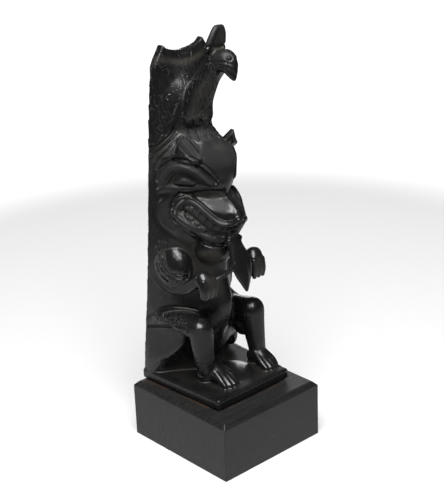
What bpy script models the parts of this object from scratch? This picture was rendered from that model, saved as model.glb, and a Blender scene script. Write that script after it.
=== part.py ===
"""Carved black stone totem figure on a plinth.

A bird stands on the head of a seated bear. Bird, bear and the slab under its feet are cut from one
block, and the block rests on a separate plinth with chamfered top edges.
Sizes are in metres. The carving itself is drawn in units of a two-hundredth of its height, with
x across, y from front (negative) to back, and z up from the slab's underside.
"""

import math

import bmesh
import bpy
import numpy as np
from mathutils import Matrix, Vector

# The carving
CARVING_HEIGHT = 0.1982
UNITS_IN_HEIGHT = 198.2
UNIT = CARVING_HEIGHT / UNITS_IN_HEIGHT
SLAB_FRONT_HALF_WIDTH = 26.2 * UNIT
SLAB_BACK_HALF_WIDTH = 29.2 * UNIT
SLAB_HALF_DEPTH = 29.5 * UNIT
SLAB_THICKNESS = 6.0 * UNIT
SLAB_ROUNDING = 1.3 * UNIT

# The plinth, drawn round the slab's footprint
PLINTH_SIDE_MARGIN = 0.0058
PLINTH_FRONT_MARGIN = 0.0135
PLINTH_BACK_MARGIN = 0.0015
PLINTH_HEIGHT = 0.0327
PLINTH_CHAMFER = 0.0024
SEAT_GAP = 0.0003

# How finely the carving is modelled
GRAIN = 0.0011
SMOOTHING_PASSES = 3
CARVING_TRIANGLES = 8000

STONE = (0.018, 0.018, 0.019, 1.0)
STAINED_WOOD = (0.035, 0.032, 0.030, 1.0)

# Half outlines of the body, seen from above, at heights up the carving: the back corner, three
# points round the side, and the middle of the front.
BODY_LEVELS = (
    (3, (28.4, 29.2), (28, 22), (17, 12), (8, 3), 0),
    (10, (28, 29.1), (27.8, 18), (16, 11.5), (8, 6), 4),
    (17, (27.5, 29), (27.3, 12.5), (16, 6.5), (8, 2), 0),
    (27, (26.7, 28.5), (26.6, 3), (16, 3), (8, -1), -3.5),
    (36, (26.2, 28), (26, 0), (15, 1), (8, -4.5), -9),
    (43, (25.5, 27.7), (25.1, 16), (15.5, 4), (8, -5), -12),
    (50, (25, 27.3), (24.7, 13), (16, 4.5), (8, -4.5), -13),
    (58, (24.5, 27), (24, 13), (16, 5), (8, -3.5), -11),
    (66, (24, 26.5), (23.5, 13), (16, 5.5), (8, -2), -9),
    (79, (23.5, 26), (23, 12), (16, 4), (8, -4), -11),
    (87, (23, 25.5), (22.8, 10), (15.5, 2.5), (8, -5), -10),
    (96, (22.8, 25), (22.5, 8), (15, -2), (8, -11), -15.5),
    (104, (22.6, 24.5), (22.3, 9), (14.5, 0), (7.5, -11.5), -17),
    (111, (22.4, 24), (21.5, 10), (13.5, 1.5), (7, -8), -13),
    (117, (22.3, 23.7), (21, 9.5), (14, -1), (7.2, -10.5), -15),
    (122, (22, 23.4), (21, 8), (14.5, -2.5), (7.5, -11), -16),
    (128, (22, 23), (20.6, 8), (15, -3), (8, -11.5), -17),
    (133, (21.7, 22.8), (18.8, 13), (14, 1.5), (7.5, -8), -13),
    (137, (21.5, 22.5), (18, 16), (12.5, 7.5), (6.5, -1.5), -6.5),
    (142, (21.3, 22.3), (17.5, 17.5), (11, 11.5), (5.5, 4.5), 0),
    (148, (21, 22), (17.2, 16.5), (11.5, 10.8), (6, 4.8), 0),
    (154, (20.7, 21.7), (16.8, 15.8), (11.8, 10.8), (6.8, 5.5), 1.5),
    (163, (20.2, 21), (16.4, 16.6), (11.2, 12.6), (6.4, 9), 6.5),
    (171, (19.6, 20.5), (15.8, 18.2), (10.5, 15.8), (5.8, 13.6), 12.5),
    (179, (18, 20.3), (13.5, 20), (9, 19), (5, 18.5), 18),
)

# Carved lines, drawn as seen from the figure's front corner: a plane turned by VIEW_TURN about the
# upright and tipped by VIEW_TIP, with the figure's own right-hand side towards the viewer. The other
# side is cut as its mirror image. Each has a half width and a height, negative where it cuts in.
VIEW_TURN = math.radians(42)
VIEW_TIP = math.radians(22)
BROW_GROOVE = (1.2, -1.3, ((-27.5, 107.5), (-26.3, 112), (-23.5, 115.2), (-20.2, 116.8), (-16.3, 117.1),
                           (-12.5, 116.4), (-8.5, 114.4), (-4.5, 111.7), (-0.7, 108.4), (3.2, 104.5)))
BROW_RIM = (0.8, 0.7, ((-27.3, 113.5), (-24.5, 116.7), (-21, 118.4), (-16.2, 118.8), (-11.7, 118.1),
                       (-8, 116.2), (-3.2, 112.9), (1, 109.3)))
FOREHEAD_GROOVE = (0.8, -0.9, ((-9.5, 117.8), (-5.5, 115.7), (-1.6, 112.9), (1.6, 109.8), (4.7, 105.8)))
LOWER_LID = (2.2, 0.4, ((-26.5, 102.3), (-22.7, 103), (-18.2, 102.7), (-13.7, 101.8), (-9, 101.8),
                        (-4, 102), (1.2, 102.3), (6.2, 101.7)))
LID_CREASE = (1.3, -0.3, ((-25.5, 101), (-21.2, 101.3), (-17.2, 100.9), (-13.2, 100.1), (-8.7, 100.1),
                          (-3.5, 100.6), (1.5, 100.6), (5.7, 99.9)))
CHEEK_CREASE = (1.3, -1.3, ((-9.5, 99.3), (-14.7, 100), (-17.6, 98.6), (-19.4, 96), (-20.2, 92.5)))
UPPER_LIP = (1.7, 1.5, ((-18.7, 89.2), (-17.9, 92.3), (-16.1, 94.8), (-13.5, 96.2), (-10.4, 95.9),
                        (-6.9, 93.9), (-3.4, 90.6), (0.3, 87), (3.8, 84.2), (7.5, 83), (11.3, 83.6),
                        (14.2, 85.4)))
LIP_GROOVE = (0.9, -1.0, ((-19.2, 95.2), (-16.6, 97.6), (-13, 98.7), (-9.2, 97.7), (-5.2, 94.9),
                          (-1.6, 91.4), (1.9, 88), (5, 86), (8, 85.2), (11, 85.8)))
LOWER_LIP = (2.2, 1.2, ((-18.7, 89.6), (-15.5, 87), (-11.7, 84), (-7.5, 80.5), (-3, 77.2),
                        (0.8, 74.5), (5, 73.9), (8.7, 74.7)))
SNOUT_FLUTE = (2.2, -0.7, ((5.5, 102), (6.6, 99.8), (9.1, 95), (10.9, 90.2), (10.5, 87.5)))
JAW_CREASE = (0.9, -1.1, ((-20.6, 91), (-19.7, 87), (-16.7, 83.9), (-12.9, 80.9), (-8.4, 77.3),
                          (-3.9, 73.9), (1, 71.9), (6, 71.6)))
EAR_HOLLOW = (1.5, -0.9, ((-12, 127), (-9.5, 124.5), (-7.2, 121.6), (-5.2, 118.2)))
EAR_RIM = (0.9, 0.6, ((-10.5, 128.3), (-7.5, 125.5), (-4.8, 122), (-3, 118.7)))
WING_HOOK = (0.7, 0.7, ((-16, 131), (-18, 128.9), (-21.5, 125.9), (-25.2, 123.1), (-30.5, 120.2)))
WING_HOOK_GROOVE = (0.9, -0.9, ((-17.3, 133.2), (-19.2, 130.4), (-22.2, 127.7), (-26, 124.9),
                                (-31, 122.2)))
FOREARM_RIM = (0.8, 0.6, ((-34, 58.6), (-29.7, 53), (-25, 48.6), (-20, 47.2), (-14.5, 48), (-9.6, 51.4)))
THIGH_UNDER = (1.2, -1.4, ((-37.5, 30), (-29.7, 30.4), (-21.2, 30.4), (-16.2, 29.4)))
THIGH_OVER = (1.0, -0.9, ((-37, 35.6), (-31.6, 38.8), (-25.7, 40.6), (-17.2, 40.4), (-9.5, 38.9)))
LINES = (BROW_GROOVE, BROW_RIM, FOREHEAD_GROOVE, LOWER_LID, LID_CREASE, CHEEK_CREASE, UPPER_LIP, LIP_GROOVE,
         LOWER_LIP, SNOUT_FLUTE, JAW_CREASE, EAR_HOLLOW, EAR_RIM, WING_HOOK, WING_HOOK_GROOVE, FOREARM_RIM,
         THIGH_UNDER, THIGH_OVER)

# Carved areas: how far the edge slopes, the height, and the outline in the same plane.
BROW = (1.3, 1.5, ((-26.5, 103.7), (-26, 108.2), (-24.2, 111.4), (-21.7, 114), (-18, 115.3),
                   (-14, 115.3), (-9.5, 113.8), (-5, 110.9), (-1.2, 107.5), (3.2, 103), (0.2, 103.2),
                   (-3.2, 105.5), (-6.7, 108), (-10.2, 110), (-14.2, 111.2), (-17.7, 111),
                   (-20.2, 109.5), (-21.7, 107.2), (-23.2, 103.6)))
EYE_SOCKET = (1.1, -1.6, ((-23, 103.8), (-21.5, 107), (-19.6, 109.2), (-17.2, 110.6), (-13.7, 110.9),
                          (-10.2, 109.7), (-6.7, 107.7), (-3.2, 105), (1.2, 102.8), (-5, 102.6),
                          (-10, 102.4), (-15.2, 102.9), (-20.2, 103.8)))
EYEBALL = (1.8, 2.2, ((-20, 104.4), (-18.4, 106.7), (-15.7, 108.4), (-12.7, 108.7), (-9.7, 107.2),
                      (-6.7, 105.2), (-4.5, 103.4), (-8.5, 102.9), (-13.5, 103.3), (-17, 103.8)))
MOUTH = (0.8, -0.9, ((-16.2, 90.8), (-15, 93.2), (-13, 94.5), (-10.5, 94.2), (-8, 92.8), (-4, 89.3),
                     (0, 85.4), (4, 82.5), (8, 81.3), (13.2, 82), (13, 78.7), (9, 77.3), (5.2, 76.2),
                     (1.2, 76.4), (-3, 78.9), (-7, 82.2), (-10.7, 85.7), (-14.2, 88.8)))
WING = (5.0, 0.5, ((-45, 118), (-30.7, 121.8), (-24.7, 125), (-21, 127.8), (-17.2, 131.2), (-15, 136.5),
                   (-13.2, 141.2), (-10.5, 147.2), (-7, 154), (-3.5, 159.5), (-1.5, 165), (0, 172),
                   (2, 190), (-45, 190)))
AREAS = (BROW, EYE_SOCKET, EYEBALL, MOUTH, WING)

RING_POINTS = 26
LEVEL_STEP = 2.0


def spline(points, share):
    """The place at a share, 0 to 1, of the way along a smooth curve through points."""
    place = min(max(share, 0.0), 1.0) * (len(points) - 1)
    k = min(int(place), len(points) - 2)
    t = place - k
    before = points[max(k - 1, 0)]
    after = points[min(k + 2, len(points) - 1)]
    out = []
    for a, b, c, d in zip(before, points[k], points[k + 1], after):
        out.append(b + 0.5 * t * (c - a + t * (2 * a - 5 * b + 4 * c - d + t * (3 * (b - c) + d - a))))
    return out


def spaced(points, count):
    """count places at even steps of share along the smooth curve through points."""
    return [spline(points, i / (count - 1)) for i in range(count)]


def body_outline(height):
    """The whole outline of the body at a height, as a ring of places from the middle of the back."""
    heights = [level[0] for level in BODY_LEVELS]
    share = float(np.interp(height, heights, np.linspace(0, 1, len(heights))))
    flat = [[v for p in level[1:5] for v in p] + [level[5]] for level in BODY_LEVELS]
    now = spline(flat, share)
    corner, side, quarter, near, front = now[0:2], now[2:4], now[4:6], now[6:8], (0, now[8])
    ghost = (-near[0], near[1])
    curve = [corner, side, quarter, near, front, ghost]
    half = [spline(curve, 0.8 * i / (RING_POINTS - 1)) for i in range(RING_POINTS)]
    return half + [(-x, y) for x, y in reversed(half[:-1])]


def add_body(bm):
    """The trunk of the carving, extruded from outline to outline up its height."""
    low, high = BODY_LEVELS[0][0], BODY_LEVELS[-1][0]
    steps = round((high - low) / LEVEL_STEP)
    heights = [low + (high - low) * i / steps for i in range(steps + 1)]
    ring = [bm.verts.new((x, y, heights[0])) for x, y in body_outline(heights[0])]
    cap = bm.faces.new(ring)
    for height in heights[1:]:
        grown = bmesh.ops.extrude_face_region(bm, geom=[cap])["geom"]
        new = {v.co.to_tuple(5): v for v in grown if isinstance(v, bmesh.types.BMVert)}
        ring = [new[v.co.to_tuple(5)] for v in ring]
        if height != heights[1]:
            bmesh.ops.delete(bm, geom=[cap], context="FACES_ONLY")
        cap = next(f for f in grown if isinstance(f, bmesh.types.BMFace))
        for v, (x, y) in zip(ring, body_outline(height)):
            v.co = (x, y, height)
    bmesh.ops.recalc_face_normals(bm, faces=bm.faces[:])


def add_ball(bm, at, radii, turn=0):
    """An ellipsoid of material, turned by degrees about the upright."""
    matrix = Matrix.Translation(at) @ Matrix.Rotation(math.radians(turn), 4, "Z") @ Matrix.Diagonal((*radii, 1))
    bmesh.ops.create_icosphere(bm, subdivisions=3, radius=1, matrix=matrix)


def add_roll(bm, stations, sides=(1, -1), turn=0):
    """A run of material through stations of place and radii, on one side or both."""
    thin = min(min(s[3:]) for s in stations)
    length = sum((Vector(a[:3]) - Vector(b[:3])).length for a, b in zip(stations, stations[1:]))
    count = max(3, round(length / max(0.45 * thin, 0.5)))
    full = [tuple(s) if len(s) == 6 else (*s[:3], s[3], s[3], s[3]) for s in stations]
    for side in sides:
        for x, y, z, rx, ry, rz in spaced(full, count):
            add_ball(bm, (side * x, y, z), (rx, ry, rz), side * turn)


def add_hull(bm, balls):
    """The tight hull round balls of place and radius: soft ridges with flat sides between."""
    for ball in balls:
        add_ball(bm, ball[:3], [ball[3]] * 3)
    made = bmesh.ops.convex_hull(bm, input=bm.verts[:], use_existing_faces=False)
    inner = [v for v in made["geom_interior"] + made["geom_unused"] if isinstance(v, bmesh.types.BMVert)]
    bmesh.ops.delete(bm, geom=list(set(inner)), context="VERTS")
    bmesh.ops.recalc_face_normals(bm, faces=bm.faces[:])


def add_snout(bm):
    """The bear's snout: flat slanting sides from the bridge down to the lips."""
    add_hull(bm, [(0, -4, 108.5, 5), (0, -12, 102.6, 6.8), (0, -18.2, 100.6, 5), (0, -21.3, 98.2, 3.6),
                  (12.6, 0, 103, 5.5), (-12.6, 0, 103, 5.5), (12, 0, 96, 5.5), (-12, 0, 96, 5.5),
                  (0, -16.5, 94, 5), (6, -11, 95, 5.5), (-6, -11, 95, 5.5)])


def add_legs(bm):
    """Thighs, shins and feet of the seated bear; its left knee is lower and its feet step to the left."""
    add_roll(bm, [(20, 17, 38.5, 7, 7.5, 5), (19.6, 3, 39.6, 7.4, 7.6, 5), (18.5, -8.5, 38.6, 7.2, 7, 6.6)],
             sides=(-1,))
    add_roll(bm, [(18.4, -9, 37, 6.8), (18, -9.3, 27, 6, 5.8, 6), (15, -7.8, 15, 5.4)], sides=(-1,))
    add_roll(bm, [(13.8, -6, 9.2, 5.2, 5, 4.5), (11, -10.5, 11.5, 5.2, 5, 4.4), (9.8, -16, 8.6, 5.6, 4, 3)],
             sides=(-1,))
    for across, near in ((13.9, -21), (11.2, -22.3), (8.5, -22.6), (5.9, -21.8)):
        add_roll(bm, [(0.7 * across + 3.6, -11.5, 13.4, 1.9), (across, -17.5, 10, 1.8),
                      (across, near, 7.1, 1.55, 1.9, 1.5)], sides=(-1,))
    add_roll(bm, [(20, 16, 31, 7.5, 7.5, 9), (19.5, 3, 33, 7.4, 7.6, 9.5), (19.6, -8, 37.3, 7.2)], sides=(1,))
    add_roll(bm, [(19.6, -8, 37.3, 7.2), (20.4, -9, 25, 5.9), (20.8, -10.5, 14, 4.8)], sides=(1,))
    add_ball(bm, (19.5, -1.5, 28), (6.3, 6.5, 8))
    add_roll(bm, [(20, -9.5, 9.5, 4.6, 5, 4.5), (20.2, -13, 11, 5, 5, 4.2), (20.3, -17, 8.4, 5.2, 4, 3)],
             sides=(1,))
    for across, near in ((16, -22.3), (18.7, -23), (21.3, -22.8), (23.9, -21.6)):
        add_roll(bm, [(0.7 * across + 6.1, -12.5, 13, 1.9), (across, -18.5, 9.8, 1.7),
                      (across, near, 7.1, 1.5, 1.8, 1.5)], sides=(1,))
    add_ball(bm, (23.6, 14, 14), (4, 4, 7))


def add_arms(bm):
    """Round shoulders, thin forearms and hanging paws; the bear's left arm is held higher."""
    for side in (1, -1):
        add_ball(bm, (side * 18.3, 11.1, 69), (8.5, 12.5, 13.5))
    add_roll(bm, [(21.3, 25, 65.4, 3), (21.8, 20, 62, 3.1), (21.4, 13.5, 58.6, 3.2), (20.3, 5, 58.6, 3.2),
                  (19.4, -4, 62.8, 3.4), (18.8, -10, 67.4, 3.8)], sides=(-1,))
    add_roll(bm, [(18.6, -12.5, 69, 4.6, 4.3, 4.4), (18.5, -15.6, 65.6, 5.2, 3.6, 4.6),
                  (18.2, -15.6, 60.4, 5, 2.7, 3)], sides=(-1,))
    for across in (21.4, 18.3, 15.2):
        add_roll(bm, [(across, -16, 68.5, 1.8), (across, -17.8, 64.5, 1.6), (across - 0.2, -17.1, 59.6, 1.4)],
                 sides=(-1,))
    add_roll(bm, [(14.6, -15, 66.5, 1.5), (9, -19, 70, 1.4), (3.8, -21.5, 75, 1.6)], sides=(-1,))
    add_roll(bm, [(20.5, 16, 65, 4.5), (20, 5, 66, 4.2), (19, -4, 68, 4.2), (18.5, -11, 69.3, 4.3)], sides=(1,))
    add_roll(bm, [(18.5, -12, 70.6, 5, 4.3, 5), (18, -14.2, 67.2, 5, 3.8, 5.5), (17.5, -14.7, 62.2, 4.4, 2.6, 2.4)],
             sides=(1,))
    for across in (14.6, 17.6, 20.6):
        add_roll(bm, [(across, -16.2, 69.6, 1.7), (across, -17, 64.6, 1.6), (across, -16.4, 60.5, 1.3)], sides=(1,))
    add_ball(bm, (0, -2, 80.5), (13, 11, 11.5))


def add_head(bm):
    """The bear's jaw, ears and hanging tongue, proud of the trunk."""
    add_roll(bm, [(20, 10, 102, 3), (15.5, 2, 95, 4), (10, -4, 90.5, 4), (5, -9.8, 89, 4), (0, -13.5, 89.5, 4)])
    add_roll(bm, [(15, 0, 131, 3, 9, 4), (15.3, 1.7, 137, 2.5, 5, 3.5), (15.5, 3, 141.3, 1.3, 1.6, 1.4)],
             sides=(-1,), turn=-22)
    add_roll(bm, [(9.5, 3.4, 131.5, 2), (13, 1, 134.6, 1.8), (15.8, -1.2, 139, 1.1)], sides=(1,))
    add_roll(bm, [(15.8, -1.2, 138.6, 1.2), (16.3, -1.3, 133.5, 1.5), (15.2, -0.6, 128, 1.5)], sides=(1,))
    add_ball(bm, (14, 1.2, 130.5), (4.5, 1.5, 5.5), -37)
    add_roll(bm, [(0, -15, 90, 4.2, 3, 3), (0, -18, 83, 4.8, 2.5, 4), (0.8, -21, 75, 6.8, 2.2, 4),
                  (1.1, -22.3, 70, 6, 2, 4), (1.4, -23.5, 64.5, 3.6, 1.5, 2.5), (1.2, -24.5, 59.6, 1, 0.9, 0.9)],
             sides=(1,))
    add_roll(bm, [(1, -18.6, 85, 1.6), (1.2, -20.4, 80, 1.6), (1.6, -22.6, 74, 1.5), (2, -23.7, 69, 1.2),
                  (2.2, -24.5, 64, 0.9)], sides=(1,))


def add_wings(bm):
    """The folded wings behind the bird, thinning upwards to their scooped top edge."""
    tops = [(-19.3, 175.5), (-17.4, 179.4), (-15.2, 182.6), (-13.1, 186), (-11, 184), (-9, 183.2),
            (-6.5, 182.4), (-3.5, 181.8), (0, 181.5)]
    tops += [(-x, z) for x, z in reversed(tops[:-1])]
    feet = {0: -1, 3.5: 1.5, 6.5: 5.2, 9: 8, 11: 10.2, 13.1: 12.4, 15.2: 14.6, 17.4: 17, 19.3: 18.5}
    bmesh.ops.create_grid(bm, x_segments=len(tops) - 1, y_segments=8, size=1)
    columns = sorted({round(v.co.x, 4) for v in bm.verts})
    for v in bm.verts:
        x, top = tops[columns.index(round(v.co.x, 4))]
        rise = (v.co.y + 1) / 2
        front = feet[abs(x)]
        v.co = (x, front + (16.4 - front) * rise ** 0.75, 148 + (top - 148) * rise)
    grown = bmesh.ops.extrude_face_region(bm, geom=bm.faces[:])["geom"]
    for v in grown:
        if isinstance(v, bmesh.types.BMVert):
            v.co.y = 20.3
    bmesh.ops.recalc_face_normals(bm, faces=bm.faces[:])


def add_bird(bm):
    """The bird's neck, head, hooked beak and crest."""
    add_roll(bm, [(0, 9.5, 149, 10, 9, 8), (0, 7, 156, 9, 7, 7), (0, 2.6, 164, 7.4, 6.5, 8), (0, -3.8, 173, 5.6, 6, 7),
                  (0, -9.5, 179, 6, 6, 6)], sides=(1,))
    add_ball(bm, (0, -11.2, 180.2), (6.3, 6.8, 6.2))
    add_roll(bm, [(0, -12.6, 180.5, 6, 6, 5.8), (0, -15.8, 180.7, 5.4, 5.8, 6), (0, -18.2, 179, 4, 4.7, 5),
                  (0, -19.5, 176.2, 2.9, 3.3, 3.6), (0, -20.5, 174, 1.8, 2.1, 2.3), (0, -21.1, 172.6, 1.1, 1.3, 1.3)],
             sides=(1,))
    add_roll(bm, [(-6.6, -9.6, 187, 1.9), (-3.9, -10.4, 193, 1.7), (-1.4, -10.4, 196.3, 1.6), (0.6, -10.4, 196.6, 1.5),
                  (2.6, -10.4, 196.3, 1.6)], sides=(1,))
    add_roll(bm, [(2.6, -10.4, 196.3, 1.6), (3.3, -10.4, 193, 1.7), (3.2, -9.6, 186.5, 1.9)], sides=(1,))
    add_roll(bm, [(-1.8, -8.8, 186, 6, 2.4, 3), (-0.4, -9.8, 192, 4.4, 1.3, 3), (0.6, -9.8, 195.2, 2.6, 1.2, 1.8)],
             sides=(1,))


def add_slab(bm):
    """The flat slab under the bear, wider at the back, with softened edges and a low swell on top."""
    corners = [(SLAB_FRONT_HALF_WIDTH, -SLAB_HALF_DEPTH), (SLAB_BACK_HALF_WIDTH, SLAB_HALF_DEPTH)]
    corners += [(-x, y) for x, y in reversed(corners)]
    face = bm.faces.new([bm.verts.new((x / UNIT, y / UNIT, 0)) for x, y in corners])
    grown = bmesh.ops.extrude_face_region(bm, geom=[face])["geom"]
    moved = [v for v in grown if isinstance(v, bmesh.types.BMVert)]
    bmesh.ops.translate(bm, verts=moved, vec=(0, 0, SLAB_THICKNESS / UNIT))
    bmesh.ops.recalc_face_normals(bm, faces=bm.faces[:])
    front = [e for e in bm.edges if sum(v.co.y for v in e.verts) < SLAB_HALF_DEPTH / UNIT]
    bmesh.ops.bevel(bm, geom=front, offset=SLAB_ROUNDING / UNIT, segments=3, profile=0.5,
                    affect="EDGES", material=-1)
    add_ball(bm, (3, -9, 4), (14, 15, 3.8))


def make_object(name, bm):
    """Writes a bmesh to a new object in the scene."""
    mesh = bpy.data.meshes.new(name)
    bm.to_mesh(mesh)
    bm.free()
    thing = bpy.data.objects.new(name, mesh)
    bpy.context.scene.collection.objects.link(thing)
    return thing


def fused(thing, grain, passes):
    """Melts an object's overlapping masses into one skin and softens the joins."""
    melt = thing.modifiers.new("Melt", "REMESH")
    melt.mode = "VOXEL"
    melt.voxel_size = grain
    melt.use_smooth_shade = True
    soften = thing.modifiers.new("Soften", "SMOOTH")
    soften.factor = 0.5
    soften.iterations = passes
    return thing


def drawn(co):
    """Places of points in the drawing plane, across and up, in carving units."""
    x, y, z = -np.abs(co[:, 0]), co[:, 1], co[:, 2]
    across = math.cos(VIEW_TURN) * x - math.sin(VIEW_TURN) * y
    depth = math.sin(VIEW_TURN) * x + math.cos(VIEW_TURN) * y
    return np.stack((across, math.sin(VIEW_TIP) * depth + math.cos(VIEW_TIP) * z), axis=1)


def seen(normals, co):
    """How squarely each point faces the viewer of the drawing plane, 0 to 1."""
    side = np.where(co[:, 0] > 0, 1, -1)
    facing = (math.sin(VIEW_TURN) * side * normals[:, 0] - math.cos(VIEW_TURN) * normals[:, 1])
    facing = math.cos(VIEW_TIP) * facing + math.sin(VIEW_TIP) * normals[:, 2]
    return np.clip(facing / 0.25, 0, 1)


def nearest(places, path):
    """Distance from each place to a path of straight runs."""
    best = np.full(len(places), 1e9)
    for a, b in zip(path, path[1:]):
        a, b = np.array(a, float), np.array(b, float)
        run = b - a
        along = np.clip(((places - a) @ run) / max(run @ run, 1e-9), 0, 1)
        best = np.minimum(best, np.linalg.norm(places - a - along[:, None] * run, axis=1))
    return best


def inside(places, outline):
    """Whether each place is within a closed outline."""
    within = np.zeros(len(places), bool)
    for (ax, ay), (bx, by) in zip(outline, outline[1:] + outline[:1]):
        spans = (ay > places[:, 1]) != (by > places[:, 1])
        crossing = ax + (places[:, 1] - ay) * (bx - ax) / ((by - ay) or 1e-9)
        within ^= spans & (places[:, 0] < crossing)
    return within


def relief(co, normals):
    """Height of the carved lines and areas at each point, in carving units."""
    places, facing = drawn(co), seen(normals, co)
    height = np.zeros(len(co))
    for slope, rise, outline in AREAS:
        depth = np.clip(nearest(places, outline + outline[:1]) / slope, 0, 1)
        height += rise * np.where(inside(places, outline), depth * depth * (3 - 2 * depth), 0)
    for half, rise, line in LINES:
        path = spaced(line, 4 * len(line))
        off = np.clip(nearest(places, path) / half, 0, 1)
        height += rise * (1 - off * off) ** 2
    return height * facing


def carve(thing):
    """Cuts the relief into an object's evaluated surface, which then takes the place of its masses."""
    graph = bpy.context.evaluated_depsgraph_get()
    mesh = bpy.data.meshes.new_from_object(thing.evaluated_get(graph))
    count = len(mesh.vertices)
    co, normals = np.empty(count * 3), np.empty(count * 3)
    mesh.vertices.foreach_get("co", co)
    mesh.vertices.foreach_get("normal", normals)
    co, normals = co.reshape(-1, 3), normals.reshape(-1, 3)
    setback, base = figure_place()
    units = (co - np.array((0, setback, base))) / UNIT
    co += normals * (relief(units, normals) * UNIT)[:, None]
    mesh.vertices.foreach_set("co", co.ravel())
    mesh.update()
    thing.modifiers.clear()
    thing.data = mesh


def figure_place():
    """How far back on the plinth the carving stands, and the height of its underside."""
    return (PLINTH_FRONT_MARGIN - PLINTH_BACK_MARGIN) / 2, PLINTH_HEIGHT + SEAT_GAP


def blockout():
    """The carving's masses, before they are melted together, at real size and place."""
    bm = bmesh.new()
    for add in (add_body, add_snout, add_legs, add_arms, add_head, add_wings, add_bird, add_slab):
        part = bmesh.new()
        add(part)
        mesh = bpy.data.meshes.new("mass")
        part.to_mesh(mesh)
        part.free()
        bm.from_mesh(mesh)
        bpy.data.meshes.remove(mesh)
    setback, base = figure_place()
    place = Matrix.Translation((0, setback, base)) @ Matrix.Scale(UNIT, 4)
    bmesh.ops.transform(bm, matrix=place, verts=bm.verts[:])
    return make_object("carved_figure", bm)


def plinth():
    """The plain block under the carving."""
    width = 2 * (SLAB_BACK_HALF_WIDTH + PLINTH_SIDE_MARGIN)
    depth = 2 * SLAB_HALF_DEPTH + PLINTH_FRONT_MARGIN + PLINTH_BACK_MARGIN
    bm = bmesh.new()
    bmesh.ops.create_cube(bm, size=1)
    bmesh.ops.scale(bm, vec=(width, depth, PLINTH_HEIGHT), verts=bm.verts[:])
    bmesh.ops.translate(bm, vec=(0, 0, PLINTH_HEIGHT / 2), verts=bm.verts[:])
    top = [e for e in bm.edges if all(v.co.z > PLINTH_HEIGHT / 2 for v in e.verts)]
    bmesh.ops.bevel(bm, geom=top, offset=PLINTH_CHAMFER, segments=1, profile=0.5, affect="EDGES",
                    material=-1)
    return make_object("plinth", bm)


def paint(thing, name, colour, roughness):
    """Gives an object its own plain material."""
    material = bpy.data.materials.new(name)
    material.use_nodes = True
    shader = material.node_tree.nodes["Principled BSDF"]
    shader.inputs["Base Color"].default_value = colour
    shader.inputs["Roughness"].default_value = roughness
    thing.data.materials.append(material)


def main():
    for thing in list(bpy.data.objects):
        bpy.data.objects.remove(thing)
    home = bpy.data.collections.new("totem_pole")
    bpy.context.scene.collection.children.link(home)
    figure = fused(blockout(), GRAIN, SMOOTHING_PASSES)
    carve(figure)
    facet = figure.modifiers.new("Facet", "DECIMATE")
    facet.ratio = CARVING_TRIANGLES / sum(len(p.vertices) - 2 for p in figure.data.polygons)
    facet.use_collapse_triangulate = True
    figure.name = figure.data.name = "carved_pole"
    block = plinth()
    paint(figure, "polished_stone", STONE, 0.3)
    paint(block, "stained_wood", STAINED_WOOD, 0.45)
    for thing in (figure, block):
        home.objects.link(thing)
        bpy.context.scene.collection.objects.unlink(thing)


if __name__ == "__main__":
    main()
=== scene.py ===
"""Looks of a small carved black stone pole: a bird above a seated bear, on its slab and plinth.

The carving is drawn in units of a two-hundredth of its height, x across, y from front (negative) to
back, z up from the slab's underside. Its masses are melted into one skin, and the features are then
cut into that skin from lines and areas drawn as seen from the figure's front corner.
"""

import math

import bmesh
import bpy
import numpy as np
from bpy.props import FloatProperty, FloatVectorProperty, IntProperty, PointerProperty
from mathutils import Matrix, Vector


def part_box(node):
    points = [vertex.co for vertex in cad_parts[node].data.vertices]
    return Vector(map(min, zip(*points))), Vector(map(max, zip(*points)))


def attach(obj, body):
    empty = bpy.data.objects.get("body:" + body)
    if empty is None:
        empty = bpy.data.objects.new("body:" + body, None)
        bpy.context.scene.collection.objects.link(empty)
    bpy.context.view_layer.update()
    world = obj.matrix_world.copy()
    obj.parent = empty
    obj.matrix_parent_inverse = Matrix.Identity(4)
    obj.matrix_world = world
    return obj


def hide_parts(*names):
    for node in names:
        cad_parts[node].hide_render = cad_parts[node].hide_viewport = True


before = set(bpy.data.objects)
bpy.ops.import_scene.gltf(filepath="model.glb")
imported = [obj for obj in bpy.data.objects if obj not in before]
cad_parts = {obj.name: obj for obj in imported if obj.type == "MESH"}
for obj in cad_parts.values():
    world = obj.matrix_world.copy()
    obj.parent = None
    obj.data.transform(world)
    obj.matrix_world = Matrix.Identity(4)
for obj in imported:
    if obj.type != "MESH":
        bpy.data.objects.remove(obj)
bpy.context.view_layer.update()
POLE_LOW, POLE_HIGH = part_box("carved_pole")
PLINTH_LOW, PLINTH_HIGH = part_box("plinth")

bl_info = {
    "name": "Carved stone pole",
    "version": (1, 0, 0),
    "blender": (4, 5, 0),
    "location": "3D View > Sidebar > Carved pole",
    "description": "Builds a carved black stone pole with bird and bear on a stained plinth",
    "category": "Add Mesh",
}

# The slab in the carving's own units: half widths at its front and back, and half its depth.
SLAB_FRONT = 26.2
SLAB_BACK = 29.2
SLAB_DEPTH = 29.5
SLAB_THICKNESS = 6
SLAB_ROUNDING = 1.3

# One of those units in metres, and where the carving stands.
UNIT = (POLE_HIGH[0] - POLE_LOW[0]) / (2 * SLAB_BACK)
SETBACK = (POLE_LOW[1] + POLE_HIGH[1]) / 2
BASE = POLE_LOW[2]

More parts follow.
